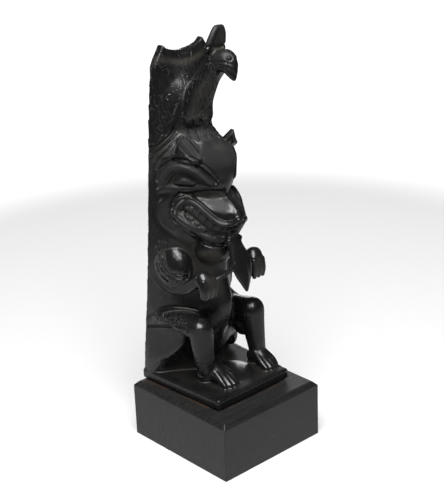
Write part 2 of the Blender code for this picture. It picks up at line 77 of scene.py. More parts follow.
# Half outlines of the body, seen from above, at heights up the carving: the back corner, three
# points round the side, and the middle of the front.
BODY_LEVELS = (
    (3, (28.4, 29.2), (28, 22), (17, 12), (8, 3), 0),
    (10, (28, 29.1), (27.8, 18), (16, 11.5), (8, 6), 4),
    (17, (27.5, 29), (27.3, 12.5), (16, 6.5), (8, 2), 0),
    (27, (26.7, 28.5), (26.6, 3), (16, 3), (8, -1), -3.5),
    (36, (26.2, 28), (26, 0), (15, 1), (8, -4.5), -9),
    (43, (25.5, 27.7), (25.1, 16), (15.5, 4), (8, -5), -12),
    (50, (25, 27.3), (24.7, 13), (16, 4.5), (8, -4.5), -13),
    (58, (24.5, 27), (24, 13), (16, 5), (8, -3.5), -11),
    (66, (24, 26.5), (23.5, 13), (16, 5.5), (8, -2), -9),
    (79, (23.5, 26), (23, 12), (16, 4), (8, -4), -11),
    (87, (23, 25.5), (22.8, 10), (15.5, 2.5), (8, -5), -10),
    (96, (22.8, 25), (22.5, 8), (15, -2), (8, -11), -15.5),
    (104, (22.6, 24.5), (22.3, 9), (14.5, 0), (7.5, -11.5), -17),
    (111, (22.4, 24), (21.5, 10), (13.5, 1.5), (7, -8), -13),
    (117, (22.3, 23.7), (21, 9.5), (14, -1), (7.2, -10.5), -15),
    (122, (22, 23.4), (21, 8), (14.5, -2.5), (7.5, -11), -16),
    (128, (22, 23), (20.6, 8), (15, -3), (8, -11.5), -17),
    (133, (21.7, 22.8), (18.8, 13), (14, 1.5), (7.5, -8), -13),
    (137, (21.5, 22.5), (18, 16), (12.5, 7.5), (6.5, -1.5), -6.5),
    (142, (21.3, 22.3), (17.5, 17.5), (11, 11.5), (5.5, 4.5), 0),
    (148, (21, 22), (17.2, 16.5), (11.5, 10.8), (6, 4.8), 0),
    (154, (20.7, 21.7), (16.8, 15.8), (11.8, 10.8), (6.8, 5.5), 1.5),
    (163, (20.2, 21), (16.4, 16.6), (11.2, 12.6), (6.4, 9), 6.5),
    (171, (19.6, 20.5), (15.8, 18.2), (10.5, 15.8), (5.8, 13.6), 12.5),
    (179, (18, 20.3), (13.5, 20), (9, 19), (5, 18.5), 18),
)
RING_POINTS = 26
LEVEL_STEP = 2.0

# Sides on which a run of material is made: its places across are multiplied by these.
AS_DRAWN = (1,)
OWN_RIGHT = (-1,)
BOTH_SIDES = (1, -1)

# The wings in the same units: their foot, their back and the front of their top edge.
WING_FOOT = 148
WING_BACK = 20.3
WING_TOP_FRONT = 16.4

# Smoothing passes that find narrow and wide hollows, and the height, in carving units, below which
# the slab's sides hold no dust.
NARROW_PASSES = 8
WIDE_PASSES = 50
CLEAN_HEIGHT = 4

# Strips on the plinth, in metres: half the width of the painted highlight along the chamfer's edges, how deep
# under the top the strips start, and how far the bare seam lies from the slab and reaches, and the margin at
# the chamfer's foot.
EDGE_HIGHLIGHT_WIDTH = 0.0006
TOP_DEPTH = 0.0004
SEAM_PLACE = 0.0002
SEAM_WIDTH = 0.0011
CHAMFER_MARGIN = 0.0002

# How squarely a point must face the viewer to be cut in full, the soft edge of a patch of cuts, and
# how many runs a guide goes on past its ends.
FACING_FADE = 0.25
CUT_FADE = 1.2
GUIDE_REACH = 40

# The point that the lights face, and how the white paper's middle is moved from under the pole.
LIGHTS_AIM = (0, 0, 0.12)
PAPER_SHIFT = (-0.1, -0.11, 0.0)

# The drawing plane: turned about the upright and tipped, with the figure's own right-hand side
# towards the viewer. The other side is cut as its mirror image.
VIEW_TURN = math.radians(42)
VIEW_TIP = math.radians(22)

# Outlines used more than once, in the drawing plane.
EYEBALL = ((-20, 104.4), (-18.4, 106.7), (-15.7, 108.4), (-12.7, 108.7), (-9.7, 107.2), (-6.7, 105.2),
           (-4.5, 103.4), (-8.5, 102.9), (-13.5, 103.3), (-17, 103.8))
FOREHEAD = ((-4, 128), (3.5, 129), (10, 126), (15, 119), (14, 110), (9.5, 105.5), (4.2, 104.5),
            (-1, 109), (-6.5, 116))

# Carved lines: half width, height (negative cuts in) and the path.
LINES = {
    # bear: brow and eye
    "brow_groove": (1.2, -1.3, ((-27.5, 107.5), (-26.3, 112), (-23.5, 115.2), (-20.2, 116.8), (-16.3, 117.1),
        (-12.5, 116.4), (-8.5, 114.4), (-4.5, 111.7), (-0.7, 108.4), (3.2, 104.5))),
    "brow_rim": (0.8, 0.7, ((-27.3, 113.5), (-24.5, 116.7), (-21, 118.4), (-16.2, 118.8), (-11.7, 118.1),
        (-8, 116.2), (-3.2, 112.9), (1, 109.3))),
    "forehead_groove": (0.8, -0.9, ((-9.5, 117.8), (-5.5, 115.7), (-1.6, 112.9), (1.6, 109.8), (4.7, 105.8))),
    "eye_crease": (0.7, -1.0, ((-17.6, 105.6), (-14.6, 107.4), (-11.2, 106.9), (-8.5, 105.2), (-6, 103.7))),
    "lower_lid": (2.2, 0.4, ((-26.5, 102.3), (-22.7, 103), (-18.2, 102.7), (-13.7, 101.8), (-9, 101.8),
        (-4, 102), (1.2, 102.3), (6.2, 101.7))),
    "lid_crease": (1.3, -0.3, ((-25.5, 101), (-21.2, 101.3), (-17.2, 100.9), (-13.2, 100.1), (-8.7, 100.1),
        (-3.5, 100.6), (1.5, 100.6), (5.7, 99.9))),
    # bear: cheek, snout and mouth
    "cheek_crease": (1.3, -1.3, ((-9.5, 99.3), (-14.7, 100), (-17.6, 98.6), (-19.4, 96), (-20.2, 92.5))),
    "cheek_edge": (2.2, -0.3, ((-19.2, 100.6), (-24.3, 99.6), (-28, 97), (-29.2, 92.7), (-28.3, 87.5),
        (-25.8, 83.2), (-21.5, 80), (-16.5, 77.4), (-11.2, 74.6), (-6.2, 72))),
    "upper_lip": (2.0, 1.2, ((-18.7, 89.2), (-17.9, 92.3), (-16.1, 94.8), (-13.5, 96.2), (-10.4, 95.9),
        (-6.9, 93.9), (-3.4, 90.6), (0.3, 87), (3.8, 84.2), (7.5, 83), (11.3, 83.6), (14.2, 85.4))),
    "lip_groove": (0.9, -1.0, ((-19.2, 95.2), (-16.6, 97.6), (-13, 98.7), (-9.2, 97.7), (-5.2, 94.9),
        (-1.6, 91.4), (1.9, 88), (5, 86), (8, 85.2), (11, 85.8))),
    "lower_lip": (2.2, 1.2, ((-18.7, 89.6), (-15.5, 87), (-11.7, 84), (-7.5, 80.5), (-3, 77.2), (0.8, 74.5),
        (5, 73.9), (8.7, 74.7))),
    "jaw_crease": (1.0, -0.8, ((-20.6, 91), (-19.7, 87), (-16.7, 83.9), (-12.9, 80.9), (-8.4, 77.3),
        (-3.9, 73.9), (1, 71.9), (6, 71.6))),
    "gap_line": (0.5, -0.5, ((-15.2, 91.5), (-11.2, 88.5), (-6.7, 84.5), (-2.7, 80.8), (0.8, 78.8), (5.2, 78),
        (11.5, 79.2))),
    "nose_fold": (0.7, -0.8, ((7.5, 80.6), (10.5, 80.5), (13.2, 82), (14.7, 84))),
    "snout_flute": (2.2, -0.35, ((5.5, 102), (6.6, 99.8), (9.1, 95), (10.9, 90.2), (10.5, 87.5))),
    # bear: ears
    "ear_hollow": (1.5, -0.9, ((-12, 127), (-9.5, 124.5), (-7.2, 121.6), (-5.2, 118.2))),
    "ear_rim": (0.9, 0.4, ((-10.5, 128.3), (-7.5, 125.5), (-4.8, 122), (-3, 118.7))),
    "ear_back": (0.8, 0.4, ((-15, 126.2), (-15.3, 123.2), (-12.7, 120), (-9.4, 116.8), (-6.3, 114.3))),
    "head_back": (0.8, 0.6, ((-16.2, 128.7), (-18, 126), (-21.7, 122.2), (-25.2, 119.5), (-28.5, 117.5))),
    "wing_hook": (0.7, 0.7, ((-16, 131), (-18, 128.9), (-21.5, 125.9), (-25.2, 123.1), (-30.5, 120.2))),
    "wing_hook_groove": (0.9, -0.9, ((-17.3, 133.2), (-19.2, 130.4), (-22.2, 127.7), (-26, 124.9),
        (-31, 122.2))),
    # bear: arms and chest
    "shoulder_ring_a": (0.7, -0.4, ((-24.6, 75), (-26, 67), (-24.7, 62.2), (-21, 59), (-14, 59))),
    "shoulder_ring_b": (0.7, -0.45, ((-26.4, 75.4), (-28, 66.5), (-26.4, 60.6), (-22.2, 57), (-14.7, 56.8))),
    "shoulder_ring_c": (0.7, -0.6, ((-28.2, 75.6), (-30, 66), (-28.4, 59.4), (-24.2, 54.9))),
    "forearm_rim": (0.8, 0.6, ((-34, 58.6), (-29.7, 53), (-25, 48.6), (-20, 47.2), (-14.5, 48),
        (-9.6, 51.4))),
    # bear: thigh and haunch
    "thigh_under": (1.2, -1.4, ((-37.5, 30), (-29.7, 30.4), (-21.2, 30.4), (-16.2, 29.4))),
    "thigh_over": (1.0, -0.9, ((-37, 35.6), (-31.6, 38.8), (-25.7, 40.6), (-17.2, 40.4), (-9.5, 38.9))),
    "haunch_edge": (0.9, 0.6, ((-15.6, 30), (-15, 24.5), (-19.7, 18.9), (-25.2, 14.4), (-31, 11.5))),
    # bird
    "bird_mask_low": (0.9, -0.4, ((0.5, 163.2), (5, 162.3), (9, 161.8), (12.5, 160.9), (15.2, 159.7))),
    "bird_lid": (0.6, -0.35, ((10.2, 163.6), (10.8, 164.8), (12, 165.3), (13.2, 164.8), (13.7, 163.7),
        (13.2, 162.7), (12, 162.3), (10.8, 162.7), (10.2, 163.6))),
    "beak_line": (0.6, -0.5, ((7.6, 159.9), (10.7, 159.3), (13.2, 157.6), (14.8, 155.4))),
    "beak_base": (0.6, -0.3, ((10.4, 162), (11.2, 160), (10.6, 158))),
    "leg_gap_a": (0.9, -1.0, ((-12.4, 137.4), (-11, 132), (-9.2, 127.6))),
    "leg_gap_b": (0.9, -1.0, ((-7.3, 136.3), (-7, 131.8), (-5, 127))),
    "leg_gap_c": (0.9, -1.0, ((-3.2, 136.6), (-2.2, 132.4), (-1, 128.4))),
    "crest_ring": (1.2, -0.5, ((-1, 169.6), (5, 169.8), (10.8, 169.2))),
}

# Short curved cuts of the bird's ruff, behind its cheek.
RUFF = ((-4, 163.4), (-2.2, 163.8), (-0.5, 163), (1.2, 162.3), (3, 161.7), (4.8, 161.2), (6.6, 160.6),
        (-4.6, 160), (-2.8, 160), (-1, 159.3), (0.8, 158.7), (2.6, 158), (4.4, 157.4))
for count, (across, up) in enumerate(RUFF):
    cut = ((across, up), (across - 1.3, up - 1.6), (across - 1.2, up - 3.6))
    LINES["ruff_%d" % count] = (0.5, -0.35, cut)

# Carved areas: how far the edge slopes, the height, and the outline.
AREAS = {
    "brow": (1.3, 1.5, ((-26.5, 103.7), (-26, 108.2), (-24.2, 111.4), (-21.7, 114), (-18, 115.3),
        (-14, 115.3), (-9.5, 113.8), (-5, 110.9), (-1.2, 107.5), (3.2, 103), (0.2, 103.2), (-3.2, 105.5),
        (-6.7, 108), (-10.2, 110), (-14.2, 111.2), (-17.7, 111), (-20.2, 109.5), (-21.7, 107.2),
        (-23.2, 103.6))),
    "eye_socket": (1.1, -1.6, ((-23, 103.8), (-21.5, 107), (-19.6, 109.2), (-17.2, 110.6), (-13.7, 110.9),
        (-10.2, 109.7), (-6.7, 107.7), (-3.2, 105), (1.2, 102.8), (-5, 102.6), (-10, 102.4), (-15.2, 102.9),
        (-20.2, 103.8))),
    "eyeball": (1.8, 2.2, EYEBALL),
    "mouth": (0.8, -1.2, ((-16.2, 90.8), (-15, 93.2), (-13, 94.5), (-10.5, 94.2), (-8, 92.8), (-4, 89.3),
        (0, 85.4), (4, 82.5), (8, 81.3), (13.2, 82), (13, 78.7), (9, 77.3), (5.2, 76.2), (1.2, 76.4),
        (-3, 78.9), (-7, 82.2), (-10.7, 85.7), (-14.2, 88.8))),
    "nostril": (0.8, -0.8, ((14.9, 85.6), (15.6, 87), (17.2, 87), (18.2, 85.6), (17.2, 84.2), (15.6, 84.2))),
    "wing": (5.0, 0.5, ((-45, 118), (-30.7, 121.8), (-24.7, 125), (-21, 127.8), (-17.2, 131.2), (-15, 136.5),
        (-13.2, 141.2), (-10.5, 147.2), (-7, 154), (-3.5, 159.5), (-1.5, 165), (0, 172), (2, 190),
        (-45, 190))),
    "bird_eye": (0.9, 0.35, ((10.8, 163.7), (11.3, 164.7), (12.3, 164.9), (13.1, 164), (12.7, 163),
        (11.6, 162.8))),
}

# Teeth between the lips: outlines of the upper and the lower row.
TEETH = (
    ((-14.3, 93.2), (-11.6, 93.9), (-12.4, 90.6), (-14.9, 91.6)),
    ((-11, 93.9), (-8.2, 92.7), (-9.9, 88.8), (-12, 90.2)),
    ((-7.7, 92.3), (-5, 90), (-7.2, 86), (-9.4, 88.3)),
    ((-4.5, 89.5), (-1.9, 86.9), (-4.2, 83.3), (-6.7, 85.5)),
    ((-1.4, 86.4), (1.6, 83.8), (-0.3, 80.6), (-3.7, 82.8)),
    ((2.1, 83.4), (5.2, 81.7), (4.5, 79), (0.4, 80.2)),
    ((5.8, 81.6), (9.3, 81), (9.2, 79), (5.2, 78.8)),
    ((9.9, 81.1), (12.8, 81.6), (12.8, 79.8), (10, 79.2)),
    ((-14.6, 90.4), (-12.6, 89.2), (-12.6, 87.7), (-14.3, 89)),
    ((-12, 88.7), (-9.2, 86.3), (-10, 85.3), (-12.2, 87.3)),
    ((-8.6, 85.7), (-5.9, 83.3), (-7.2, 82.6), (-9.4, 84.7)),
    ((-5.3, 82.7), (-2.4, 80.1), (-3.4, 79.4), (-6.5, 82)),
    ((-1.8, 79.7), (1.2, 78), (0.6, 77), (-2.8, 79)),
    ((1.8, 77.9), (5.2, 77.3), (5, 76.4), (1.4, 76.8)),
)
TOOTH_SLOPE = 0.5
TOOTH_RISE = 0.9

# Where the stone was rubbed grey, and where olive dust stayed: slope, strength and outline.
GREY = {
    "haunch": (2.5, 1.0, ((-39, 30.5), (-16.2, 29.2), (-15, 23.5), (-20, 18.7), (-25.5, 14), (-39, 10))),
    "shin": (2, 0.6, ((-15.2, 30.2), (-1.7, 28.5), (-0.5, 20.2), (1.2, 12), (-5.5, 7.7), (-9.5, 3.2),
        (-12, 15.7))),
    "forearm": (1.5, 0.8, ((-35, 65.2), (-30.2, 61.2), (-26.5, 55.2), (-20.7, 52.7), (-13.5, 54),
        (-9.2, 55.7), (-8.2, 52), (-13.2, 48.5), (-20, 46.2), (-25.7, 48), (-31, 52.5), (-36, 58))),
    "flank": (2.5, 0.9, ((-39, 66), (-33, 59.7), (-29.7, 53.2), (-25.2, 48.5), (-20, 46), (-7.5, 45.5),
        (-6.7, 40.7), (-15.7, 39.5), (-26.2, 40.5), (-36, 37.5))),
    "breast": (3, 0.8, ((0, 158.5), (-4.5, 154), (-7.7, 148.5), (-10, 143), (-11.5, 136.2), (-6, 135.2),
        (1, 137.2), (2.5, 142), (5, 146.7), (7.7, 151.2), (8.2, 156.5), (4.5, 158.5))),
    "lap": (1.5, 0.9, ((-3.2, 35.2), (0, 37.7), (5, 38.2), (2.5, 34), (-0.7, 31.2))),
    "head": (3, 0.35, FOREHEAD),
    "eye": (0.6, 0.8, EYEBALL),
    "cheek": (2.5, 0.8, ((-18, 99.5), (-23.5, 98.5), (-27, 96.2), (-28.2, 92.2), (-27.4, 87.5), (-23.5, 82.7),
        (-16.2, 78.7), (-8, 75), (-2, 72), (-8.4, 78), (-16.7, 84), (-20.5, 89), (-20.5, 95))),
    "brow": (1.2, 0.9, ((-26.5, 103.7), (-26, 108.2), (-24.2, 111.4), (-21.7, 114), (-18, 115.3),
        (-14, 115.3), (-9.5, 113.8), (-6, 111), (-9, 109.3), (-14.2, 111.2), (-17.7, 111), (-20.2, 109.5),
        (-21.7, 107.2), (-23.2, 103.6))),
    "lips": (1, 0.7, ((-20, 90), (-18.5, 94.5), (-15, 97.5), (-10, 97.3), (-4, 93), (3, 86.3), (8, 84.6),
        (8, 81.6), (2, 83), (-5, 90), (-10.5, 94.2), (-14.5, 93.6), (-16.2, 90.8), (-10, 85.5), (-2, 78.5),
        (5, 76), (5, 72.8), (-2, 74.4), (-11, 81.2), (-18.5, 87.5))),
    "ear": (2, 0.6, ((-12, 127), (-2, 118), (-5, 114), (-16, 124))),
    "mouth": (0.8, 0.8, ((-16.2, 90.8), (-13, 94.5), (-8, 92.8), (0, 85.4), (8, 81.3), (8, 77), (1.2, 76.4),
        (-7, 82.2), (-14.2, 88.8))),
    "crest": (1, 0.7, ((-2, 170), (2, 170), (10, 171), (9, 186), (0, 186))),
}
DUST = {
    "chest": (3, 1.0, ((-11, 70.5), (-3.7, 71.7), (5, 71.5), (6.5, 65.7), (4.2, 61), (-1, 59.7), (-5.2, 62),
        (-11, 62.2))),
    "slab": (2, 0.9, ((-23, 12.6), (-15.5, 13.7), (-10.7, 10), (-11.5, 5.7), (-18, 7))),
    "rim": (2, 0.8, ((-27, 170), (-19.2, 169), (-11.7, 169), (-4.2, 173), (0.5, 169), (-4, 165.2), (-12, 164),
        (-21.7, 164.4), (-27, 163.2))),
    "breast": (3, 0.8, ((0, 158.5), (-7.7, 148.5), (-11.5, 136.2), (1, 137.2), (5, 146.7), (8.2, 156.5))),
    "belly": (3, 0.5, ((-4, 58), (4, 58), (7, 50), (6, 42), (-6, 44))),
    "ear_side": (2, 0.6, ((1, 127), (8, 124), (8, 119), (2, 121))),
    "neck": (3, 0.4, ((-34, 120), (-26, 120), (-28, 109), (-34, 104))),
}
# Where the stone is dull but keeps its black.
DULL = {
    "perch": (2, 0.6, ((-17, 134), (-14, 140), (-3, 142), (4, 142), (9, 132), (6, 125), (-4, 125),
        (-12, 127))),
    "head": (3, 1.0, FOREHEAD),
    "far_thigh": (2, 0.5, ((2, 30), (14, 38), (22, 30), (20, 8), (6, 14))),
    "snout": (2.5, 0.5, ((-4, 96), (1, 99.5), (9, 97), (11, 91), (8, 86.5), (2, 89), (-3, 93))),
    "bird": (3, 0.3, ((2, 162), (2, 170), (16, 170), (16, 154), (8, 158))),
    "ear": (1.5, 0.7, ((-17, 129), (-11, 130), (-1, 120), (-2, 113), (-14, 119))),
    "eye": (2, 0.5, ((-27, 101), (-26.5, 112), (-20, 118), (-10, 117), (3, 106), (3, 101))),
}

# Rows of short cuts for fur and feathers: outline, guide that the cuts run along, spacing, length
# of a cut, depth, and how ragged the rows are.
CUTS = {
    "haunch": (((-38.5, 30), (-16, 29.7), (-15.6, 25), (-20.5, 18.5), (-26.5, 13.5), (-38.5, 10.5)),
        ((-40, 30), (-26, 24), (-14, 17)), 1.15, 7, 0.8, 0.4),
    "thigh": (((-36.5, 33.5), (-30, 38), (-18.5, 38.5), (-14.5, 32), (-36.7, 31)), ((-34, 28), (-28, 40)),
        1.4, 5, 1.4, 0.5),
    "flank": (((-35.5, 47.5), (-15.5, 45.7), (-13, 39.7), (-26.5, 40.2), (-35.5, 38)), ((-36, 44), (-12, 42)),
        1.2, 6, 0.5, 0.5),
    "forearm": (((-34.5, 63), (-30, 57.5), (-25.5, 54), (-20, 53.5), (-12, 55), (-14, 50), (-20.7, 49.4),
        (-25.5, 51), (-29.7, 55.4), (-34.5, 60)), ((-34.5, 61), (-28, 54.5), (-21, 51), (-12, 53)), 1.2, 7,
        1.3, 0.4),
    "shoulder": (((-31, 74), (-23.6, 74), (-24.6, 66), (-22, 61.4), (-15.5, 58.8), (-16, 53.6), (-24, 54.5),
        (-30.5, 60)), ((-25.4, 74), (-26.6, 66.5), (-24.6, 61), (-20.5, 58), (-15, 57)), 1.1, 6, 1.4, 0.4),
    "wing": (((-42, 124), (-27, 126), (-20, 131), (-17.5, 138), (-14.5, 146), (-10, 155), (-8, 163),
        (-9, 171), (-42, 180)), ((-30, 172), (-20, 158), (-16, 130)), 3.1, 4.2, 1.0, 1.0),
    "breast": (((-7, 157), (-11, 148), (-14, 140), (-12.5, 138), (-6, 137), (0, 138.6), (4, 146), (6, 155),
        (0, 156.5)), ((-1.5, 158), (-3, 148), (-6, 137)), 1.7, 4.4, 1.6, 0.8),
    "perch": (((-14, 135), (-12, 139), (3, 141), (6, 133), (3, 127), (-9, 127)), ((-8, 142), (-6, 126)), 1.5,
        4.5, 1.7, 0.7),
    "shin": (((-12, 27), (-2, 27), (-1, 14), (-9.5, 12)), ((-8, 30), (-5.5, 12)), 1.5, 6, 0.35, 0.8),
    "head_side": (((-29.5, 118), (-24, 119), (-17, 120), (-20, 125), (-28, 121.5)), ((-30, 116), (-16, 124)),
        1.3, 4, 0.6, 0.7),
}


def spline(points, share):
    """The place at a share, 0 to 1, of the way along a smooth curve through points."""
    place = min(max(share, 0.0), 1.0) * (len(points) - 1)
    k = min(int(place), len(points) - 2)
    t = place - k
    before = points[max(k - 1, 0)]
    after = points[min(k + 2, len(points) - 1)]
    out = []
    for a, b, c, d in zip(before, points[k], points[k + 1], after):
        out.append(b + 0.5 * t * (c - a + t * (2 * a - 5 * b + 4 * c - d + t * (3 * (b - c) + d - a))))
    return out


def spaced(points, count):
    """count places at even steps of share along the smooth curve through points."""
    return [spline(points, i / (count - 1)) for i in range(count)]


def body_outline(height):
    """The whole outline of the body at a height, as a ring of places from the middle of the back."""
    heights = [level[0] for level in BODY_LEVELS]
    share = float(np.interp(height, heights, np.linspace(0, 1, len(heights))))
    flat = [[v for p in level[1:5] for v in p] + [level[5]] for level in BODY_LEVELS]
    now = spline(flat, share)
    corner, side, quarter, near, front = now[0:2], now[2:4], now[4:6], now[6:8], (0, now[8])
    ghost = (-near[0], near[1])
    curve = [corner, side, quarter, near, front, ghost]
    half = [spline(curve, 0.8 * i / (RING_POINTS - 1)) for i in range(RING_POINTS)]
    return half + [(-x, y) for x, y in reversed(half[:-1])]


def add_body(bm):
    """The trunk of the carving, extruded from outline to outline up its height."""
    low, high = BODY_LEVELS[0][0], BODY_LEVELS[-1][0]
    steps = round((high - low) / LEVEL_STEP)
    heights = [low + (high - low) * i / steps for i in range(steps + 1)]
    ring = [bm.verts.new((x, y, heights[0])) for x, y in body_outline(heights[0])]
    cap = bm.faces.new(ring)
    for height in heights[1:]:
        grown = bmesh.ops.extrude_face_region(bm, geom=[cap])["geom"]
        new = {v.co.to_tuple(5): v for v in grown if isinstance(v, bmesh.types.BMVert)}
        ring = [new[v.co.to_tuple(5)] for v in ring]
        if height != heights[1]:
            bmesh.ops.delete(bm, geom=[cap], context="FACES_ONLY")
        cap = next(f for f in grown if isinstance(f, bmesh.types.BMFace))
        for v, (x, y) in zip(ring, body_outline(height)):
            v.co = (x, y, height)
    bmesh.ops.recalc_face_normals(bm, faces=bm.faces[:])


def add_ball(bm, at, radii, turn=0):
    """An ellipsoid of material, turned by degrees about the upright."""
    place = Matrix.Translation(at) @ Matrix.Rotation(math.radians(turn), 4, "Z")
    bmesh.ops.create_icosphere(bm, subdivisions=3, radius=1, matrix=place @ Matrix.Diagonal((*radii, 1)))


def add_roll(bm, stations, sides=BOTH_SIDES, turn=0):
    """A run of material through stations of place and radii, on one side or both."""
    thin = min(min(s[3:]) for s in stations)
    length = sum((Vector(a[:3]) - Vector(b[:3])).length for a, b in zip(stations, stations[1:]))
    count = max(3, round(length / max(0.4 * thin, 0.45)))
    full = [tuple(s) if len(s) == 6 else (*s[:3], s[3], s[3], s[3]) for s in stations]
    for side in sides:
        for x, y, z, rx, ry, rz in spaced(full, count):
            add_ball(bm, (side * x, y, z), (rx, ry, rz), side * turn)


def add_hull(bm, balls):
    """The tight hull round balls of place and radius: soft ridges with flat sides between."""
    for ball in balls:
        add_ball(bm, ball[:3], [ball[3]] * 3)
    made = bmesh.ops.convex_hull(bm, input=bm.verts[:], use_existing_faces=False)
    inner = [v for v in made["geom_interior"] + made["geom_unused"] if isinstance(v, bmesh.types.BMVert)]
    bmesh.ops.delete(bm, geom=list(set(inner)), context="VERTS")
    bmesh.ops.recalc_face_normals(bm, faces=bm.faces[:])


def add_snout(bm):
    """The bear's snout: flat slanting sides from the bridge down to the lips."""
    add_hull(bm, [(0, -4, 108.5, 5), (0, -12, 102.6, 6.8), (0, -18.2, 100.6, 5), (0, -21.3, 98.2, 3.6),
                  (12.6, 0, 103, 5.5), (-12.6, 0, 103, 5.5), (12, 0, 96, 5.5), (-12, 0, 96, 5.5),
                  (0, -16.5, 94, 5), (6, -11, 95, 5.5), (-6, -11, 95, 5.5)])


def add_legs(bm):
    """Thighs, shins and feet of the seated bear; its left knee is lower and its feet step to the left."""
    add_roll(bm, [(20, 17, 38.5, 7, 7.5, 5), (19.6, 3, 39.6, 7.4, 7.6, 5), (18.5, -8.5, 38.6, 7.2, 7, 6.6)],
             OWN_RIGHT)
    add_roll(bm, [(18.4, -9, 37, 6.8), (18, -9.3, 27, 6, 5.8, 6), (15, -7.8, 15, 5.4)], OWN_RIGHT)
    add_roll(bm, [(13.8, -6, 9.2, 5.2, 5, 4.5), (11, -10.5, 11.5, 5.2, 5, 4.4), (9.8, -16, 8.6, 5.6, 4, 3)],
             OWN_RIGHT)
    for across, near in ((13.9, -21), (11.2, -22.3), (8.5, -22.6), (5.9, -21.8)):
        add_roll(bm, [(0.7 * across + 3.6, -11.5, 13.4, 1.9), (across, -17.5, 10, 1.8),
                      (across, near, 7.1, 1.55, 1.9, 1.5)], OWN_RIGHT)
    add_roll(bm, [(20, 16, 31, 7.5, 7.5, 9), (19.5, 3, 33, 7.4, 7.6, 9.5), (19.6, -8, 37.3, 7.2)], AS_DRAWN)
    add_roll(bm, [(19.6, -8, 37.3, 7.2), (20.4, -9, 25, 5.9), (20.8, -10.5, 14, 4.8)], AS_DRAWN)
    add_ball(bm, (19.5, -1.5, 28), (6.3, 6.5, 8))
    add_roll(bm, [(20, -9.5, 9.5, 4.6, 5, 4.5), (20.2, -13, 11, 5, 5, 4.2), (20.3, -17, 8.4, 5.2, 4, 3)],
             AS_DRAWN)
    for across, near in ((16, -22.3), (18.7, -23), (21.3, -22.8), (23.9, -21.6)):
        add_roll(bm, [(0.7 * across + 6.1, -12.5, 13, 1.9), (across, -18.5, 9.8, 1.7),
                      (across, near, 7.1, 1.5, 1.8, 1.5)], AS_DRAWN)
    add_ball(bm, (23.6, 14, 14), (4, 4, 7))


def add_arms(bm):
    """Round shoulders, thin forearms and hanging paws; the bear's left arm is held higher."""
    for side in BOTH_SIDES:
        add_ball(bm, (side * 18.3, 11.1, 69), (8.5, 12.5, 13.5))
    add_roll(bm, [(21.3, 25, 65.4, 3), (21.8, 20, 62, 3.1), (21.4, 13.5, 58.6, 3.2), (20.3, 5, 58.6, 3.2),
                  (19.4, -4, 62.8, 3.4), (18.8, -10, 67.4, 3.8)], OWN_RIGHT)
    add_roll(bm, [(18.6, -12.5, 69, 4.6, 4.3, 4.4), (18.5, -15.6, 65.6, 5.2, 3.6, 4.6),
                  (18.2, -15.6, 60.4, 5, 2.7, 3)], OWN_RIGHT)
    for across in (21.4, 18.3, 15.2):
        add_roll(bm, [(across, -16, 68.5, 1.8), (across, -17.8, 64.5, 1.6), (across - 0.2, -17.1, 59.6, 1.4)],
                 OWN_RIGHT)
    add_roll(bm, [(14.6, -15, 66.5, 1.5), (9, -19, 70, 1.4), (3.8, -21.5, 75, 1.6)], OWN_RIGHT)
    add_roll(bm, [(20.5, 16, 65, 4.5), (20, 5, 66, 4.2), (19, -4, 68, 4.2), (18.5, -11, 69.3, 4.3)], AS_DRAWN)
    add_roll(bm, [(18.5, -12, 70.6, 5, 4.3, 5), (18, -14.2, 67.2, 5, 3.8, 5.5),
                  (17.5, -14.7, 62.2, 4.4, 2.6, 2.4)], AS_DRAWN)
    for across in (14.6, 17.6, 20.6):
        add_roll(bm, [(across, -16.2, 69.6, 1.7), (across, -17, 64.6, 1.6), (across, -16.4, 60.5, 1.3)],
                 AS_DRAWN)
    add_ball(bm, (0, -2, 80.5), (13, 11, 11.5))


def add_head(bm):
    """The bear's jaw, ears and hanging tongue, proud of the trunk."""
    add_roll(bm, [(20, 10, 102, 3), (15.5, 2, 95, 4), (10, -4, 90.5, 4), (5, -9.8, 89, 4),
                  (0, -13.5, 89.5, 4)])
    add_roll(bm, [(15, 0, 131, 3, 9, 4), (15.3, 1.7, 137, 2.5, 5, 3.5), (15.5, 3, 141.3, 1.3, 1.6, 1.4)],
             OWN_RIGHT, turn=-22)
    add_roll(bm, [(9.5, 3.4, 131.5, 2), (13, 1, 134.6, 1.8), (15.8, -1.2, 139, 1.1)], AS_DRAWN)
    add_roll(bm, [(15.8, -1.2, 138.6, 1.2), (16.3, -1.3, 133.5, 1.5), (15.2, -0.6, 128, 1.5)], AS_DRAWN)
    add_ball(bm, (14, 1.2, 130.5), (4.5, 1.5, 5.5), -37)
    add_roll(bm, [(0, -15, 90, 4.2, 3, 3), (0, -18, 83, 4.8, 2.5, 4), (0.8, -21, 75, 6.8, 2.2, 4),
                  (1.1, -22.3, 70, 6, 2, 4), (1.4, -23.5, 64.5, 3.6, 1.5, 2.5),
                  (1.2, -24.5, 59.6, 1, 0.9, 0.9)], AS_DRAWN)
    add_roll(bm, [(1, -18.6, 85, 1.6), (1.2, -20.4, 80, 1.6), (1.6, -22.6, 74, 1.5), (2, -23.7, 69, 1.2),
                  (2.2, -24.5, 64, 0.9)], AS_DRAWN)


